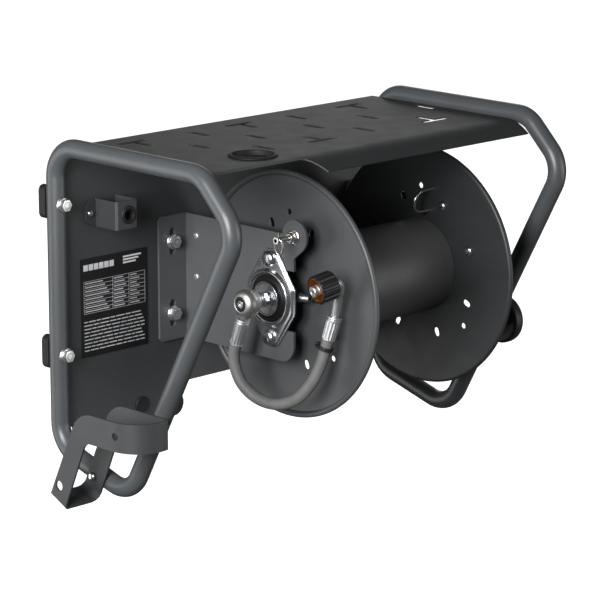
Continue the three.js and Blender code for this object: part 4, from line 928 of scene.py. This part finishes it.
# ------------------------------------------------------------------ lock pin
def make_lock_pin():
    """Barrel and nuts in the bracket's ear, and the pin with its pull ring."""
    pin_y, pin_z = on_reel(LOCK_RADIUS, LOCK_PHASE)
    outer_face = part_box("left_bearing_housing")[1].x
    seat = Vector((outer_face, pin_y, pin_z))
    nut = hexagon("nut", 13, 5, seat, -X, 1)
    flange = turned("flange", [(3.2, 0), (8.4, 0), (8.4, 0.9), (7.6, 1.2), (3.2, 1.2)], seat, -X, 48, 0.3)
    barrel = turned("barrel", [(3.2, 4), (5.6, 4), (5.6, 8.3), (5, 9), (3.2, 9)], seat, -X, 48, 0.3)
    inner = turned("inner", [(3.2, 0), (4.7, 0), (4.7, 11), (3.2, 11)], seat - X * 3 * MM, X, 40, 0.3)
    back_nut = hexagon("back", 13, 4.5, seat + X * 3.9 * MM, X, 0.8)
    housing = join("lock_pin_housing", [nut, flange, barrel, inner, back_nut])
    finish_piece(housing, STEEL, "frame", "lock_pin_barrel")
    end = Vector((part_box("lock_pin_plunger")[0].x, pin_y, pin_z))
    length = span("lock_pin_plunger").x / MM
    profile = [(0, 0), (2.6, 0), (2.75, 0.6), (2.75, length - 7), (1.6, length - 5.5),
               (1.6, length - 0.6), (1, length), (0, length)]
    rod = turned("rod", profile, end, X, 32, 0.3)
    loop_centre = end + Vector((3.1, -2.5, -7)) * MM
    loop = []
    for k in range(32):
        angle = 2 * math.pi * k / 32
        slant = math.cos(angle)
        loop.append(loop_centre + Vector((0.17 * slant, -0.5 * slant, math.sin(angle))) * 8.5 * MM)
    pull = sweep("pull", loop, 1.05 * MM, 16, closed=True)
    cross = sweep("cross", [end + Vector((4, -1.5, 9)) * MM, end + Vector((4, 0, 0)) * MM,
                            end + Vector((4.2, 1.5, -6)) * MM], 1.3 * MM, 16)
    stop = turned("stop", [(0, -1), (4.2, -1), (4.2, 1), (0, 1)], end + X * 1 * MM, X, 32, 0.3)
    finish_piece(join("lock_pin_rod", [rod, pull, cross, stop]), STEEL, "lock_pin", "lock_pin_plunger")


make_lock_pin()


# ------------------------------------------------------------------ crank
def make_crank():
    """Knob of the crank, and the spindle it turns on."""
    middle = centre("crank_knob")
    base = Vector((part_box("crank_knob")[0].x, middle.y, middle.z))
    profile = [(4.4, 0), (11, 0), (10.4, 4), (10, 12), (11, 17), (14, 20.4), (20, 21.4), (26, 21.8),
               (28.4, 23), (29, 25), (29, 32), (28, 35.5), (25, 37.6), (14, 39.4), (8, 40), (7.6, 34.6),
               (4.4, 34)]
    knob = turned("crank_knob_grip", profile, base, X, 96, 1.0)
    finish_piece(knob, KNOB_PLASTIC, "crank_grip", "crank_knob")
    inner_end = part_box("crank_spindle")[0].x
    rod = turned("rod", [(0, 0), (4, 0), (4, 43.5), (0, 43.5)], base - X * 9 * MM, X, 32, 0.4)
    head = turned("head", [(0, 0), (6.5, 0), (6.5, 1.6), (5, 3.4), (0, 4)], base + X * 34.3 * MM, X, 40, 0.6)
    nut = hexagon("nut", 13, 3, Vector((inner_end + 3 * MM, middle.y, middle.z)), -X)
    finish_piece(join("crank_spindle_set", [rod, head, nut]), ZINC, "reel", "crank_spindle")


make_crank()


# ------------------------------------------------------------------ rubber parts
def make_rubber():
    middle = centre("shelf_grommet")
    shelf_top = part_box("top_shelf")[1].z
    seat = Vector((middle.x, middle.y, shelf_top))
    profile = [(22.2, -4), (26.5, -4), (26.5, -1.8), (23.4, -1.8), (23.4, 0.3), (27.3, 0.3), (27.2, 1.4),
               (25.6, 2.2), (23.4, 2.3), (22.4, 1.4), (22.2, -1)]
    ring = turned("shelf_grommet_ring", profile, seat, Z, 96, 0.7)
    finish_piece(ring, RUBBER, "frame", "shelf_grommet")
    plug_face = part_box("panel_plug")[0].y
    middle = centre("panel_plug")
    profile = [(0, 0.5), (6, 0.2), (8.6, 0), (9.5, 0.9), (9.5, 2), (6.7, 2), (6.7, 5.5), (0, 5.5)]
    plug = turned("panel_plug_cap", profile, Vector((middle.x, plug_face, middle.z)), Y, 64, 0.5)
    finish_piece(plug, RUBBER, "frame", "panel_plug")
    finish_piece(softened("tab_bumper_pad", "tab_bumper", 0.8 * MM), RUBBER, "frame", "tab_bumper")
    middle = centre("wand_clip_grommet")
    clip_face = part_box("wand_clip")[0].y
    profile = [(6.2, -1.4), (7.4, -2), (9.6, -1.7), (10.5, -0.3), (8, -0.3), (8, 2.3), (10, 2.3),
               (9, 4), (6.2, 4)]
    ring = turned("wand_clip_ring", profile, Vector((middle.x, clip_face, middle.z)), Y, 64, 0.5)
    finish_piece(ring, RUBBER, "frame", "wand_clip_grommet")
    for side in ("left", "right"):
        for level in ("top", "bottom"):
            node = f"wall_pad_{side}_{level}"
            finish_piece(softened(node + "_block", node, 1.2 * MM), RUBBER, "frame", node)


make_rubber()


# ------------------------------------------------------------------ small screws and rivets
RIVET_INSET = 20 * MM                                   # from the left bracket's rear face
RIVET_HEIGHTS = {"upper": 50.1 * MM, "lower": 2.4 * MM}     # above the reel's axis


def make_screws():
    middle = centre("lance_holder_screw")
    strap_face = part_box("lance_holder_screw")[1].x - 2.8 * MM
    seat = Vector((strap_face, middle.y, middle.z))
    head = turned("head", [(0, 0), (5.5, 0), (5.3, 1.4), (4, 2.8), (2, 3.4), (0, 3.4)], seat, -X, 40, 0.5)
    rod = turned("rod", [(0, -2.8), (2.9, -2.8), (2.9, 0.5), (0, 0.5)], seat, -X, 24, 0.2)
    finish_piece(join("lance_holder_screw_set", [head, rod]), ZINC, "frame", "lance_holder_screw")
    middle = centre("wand_clip_screw")
    clip_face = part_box("wand_clip_screw")[0].y + 2.6 * MM
    seat = Vector((middle.x, clip_face, middle.z))
    head = turned("head", [(0, 0), (4, 0), (3.8, 1.1), (2.6, 2.3), (0, 2.6)], seat, -Y, 40, 0.4)
    rod = turned("rod", [(0, -9), (2, -9), (2, 0.5), (0, 0.5)], seat, -Y, 24, 0.2)
    finish_piece(join("wand_clip_screw_set", [head, rod]), ZINC, "frame", "wand_clip_screw")
    plate_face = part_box("left_bearing_housing")[1].x + GAP
    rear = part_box("left_bracket")[1].y
    profile = [(0, -1), (4.2, -1), (4.2, 0.4), (3.2, 1.5), (0, 2)]
    for name, height in RIVET_HEIGHTS.items():
        seat = Vector((plate_face, rear - RIVET_INSET, AXIS.z + height))
        rivet = turned(f"plate_rivet_{name}", profile, seat, -X, 40, 0.5)
        finish_piece(rivet, FERRULE, "frame")


make_screws()


# ------------------------------------------------------------------ label
def make_label():
    """Plain black plate with a ruled box, a ruled table and rows of dashes instead of any lettering."""
    finish_piece(softened("label_plate_film", "label_plate", 0.15 * MM), LABEL, "frame", "label_plate")
    low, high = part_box("label_plate")
    face = low.y - 0.05 * MM
    vertices = []
    faces = []

    def bar(left, top, width, height):
        start = len(vertices)
        x0 = low.x + left * MM
        z0 = high.z - top * MM
        x1 = x0 + width * MM
        z1 = z0 - height * MM
        for x, z in ((x0, z0), (x1, z0), (x1, z1), (x0, z1)):
            vertices.append((x, face, z))
            vertices.append((x, face + 0.04 * MM, z))
        for k in range(4):
            m = (k + 1) % 4
            faces.append((start + 2 * k, start + 2 * m, start + 2 * m + 1, start + 2 * k + 1))
        faces.append((start, start + 2, start + 4, start + 6))
        faces.append((start + 1, start + 7, start + 5, start + 3))

    table_left, table_top, row_height, rows = 4, 26, 4.6, 8
    for row in range(rows + 1):
        bar(table_left, table_top + row * row_height, 90, 0.35)
    for column in (0, 42, 66, 90):
        bar(table_left + column, table_top, 0.35, rows * row_height)
    for row in range(rows):
        for column, width in ((2, 26 + 3 * (row % 4)), (44, 14 + 2 * (row % 3)), (68, 10 + 4 * (row % 2))):
            bar(table_left + column, table_top + row * row_height + 1.8, width, 1.1)
    for block in range(6):
        bar(table_left + block * 7.6, 7, 6.4, 7)
    for line in range(3):
        bar(62, 5 + line * 3.4, 27 - 4 * line, 1.9)
    for row in range(9):
        left = 4
        word = 0
        while left < 88:
            width = 5 + (row * 7 + word * 5) % 9
            bar(left, 72 + row * 4.1, min(width, 93 - left), 1.1)
            left += width + 1.6
            word += 1
    print_mesh = add_mesh("label_print", vertices, faces, smooth=False)
    finish_piece(print_mesh, LABEL_INK, "frame")


make_label()


# ------------------------------------------------------------------ studio
FLOOR_DROP = 0.35           # floor below the side frames
FLOOR_HALF = 12
FLOOR_LIGHT = 3.4
WORLD_LIGHT = 0.07
LIGHT_AIM = Vector((0, -0.12, 0))
# Soft boxes: place, size and power.
SOFT_BOXES = {
    "key": ((-1.9, -0.8, 0.62), 1.0, 72),
    "fill": ((1.2, -2.4, 0.3), 1.4, 17),
    "front_reflector": ((1.9, -2.2, -0.3), 1.6, 9),
    "rear_reflector": ((-2.2, 2.0, -0.4), 2.0, 26),
    "shelf_reflector": ((2.6, 2.2, 1.0), 1.4, 8),
}


def make_floor():
    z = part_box("left_frame")[0].z - FLOOR_DROP
    half = FLOOR_HALF
    corners = [(-half, -half, z), (half, -half, z), (half, half, z), (-half, half, z)]
    floor = add_mesh("studio_floor", corners, [(0, 1, 2, 3)], smooth=False)
    n = Nodes("studio_floor_paper")
    paper = n.ramp(n.noise(3, 2), [(0.3, (0.93, 0.93, 0.93)), (0.7, (0.95, 0.95, 0.95))])
    n.link(paper, n.shader.inputs["Base Color"])
    n.shader.inputs["Roughness"].default_value = 0.9
    floor.data.materials.append(n.material)
    floor.visible_diffuse = False
    floor.visible_glossy = False
    return floor


def make_studio():
    """Pale floor with its own even light, and soft boxes round the object."""
    floor = make_floor()
    scene = bpy.context.scene
    scene.view_settings.view_transform = "Standard"
    world = bpy.data.worlds.new("studio_light")
    world.use_nodes = True
    world.node_tree.nodes["Background"].inputs["Color"].default_value = (1, 1, 1, 1)
    world.node_tree.nodes["Background"].inputs["Strength"].default_value = WORLD_LIGHT
    scene.world = world
    for name, (place, size, power) in SOFT_BOXES.items():
        data = bpy.data.lights.new(name, "AREA")
        data.size = size
        data.energy = power
        lamp = bpy.data.objects.new(name, data)
        scene.collection.objects.link(lamp)
        lamp.location = place
        aim = LIGHT_AIM - Vector(place)
        lamp.rotation_euler = aim.to_track_quat("-Z", "Y").to_euler()
    data = bpy.data.lights.new("floor_light", "SUN")
    data.energy = FLOOR_LIGHT
    data.angle = math.radians(60)
    lamp = bpy.data.objects.new("floor_light", data)
    scene.collection.objects.link(lamp)
    only_floor = bpy.data.collections.new("lit_floor")
    only_floor.objects.link(floor)
    lamp.light_linking.receiver_collection = only_floor


make_studio()
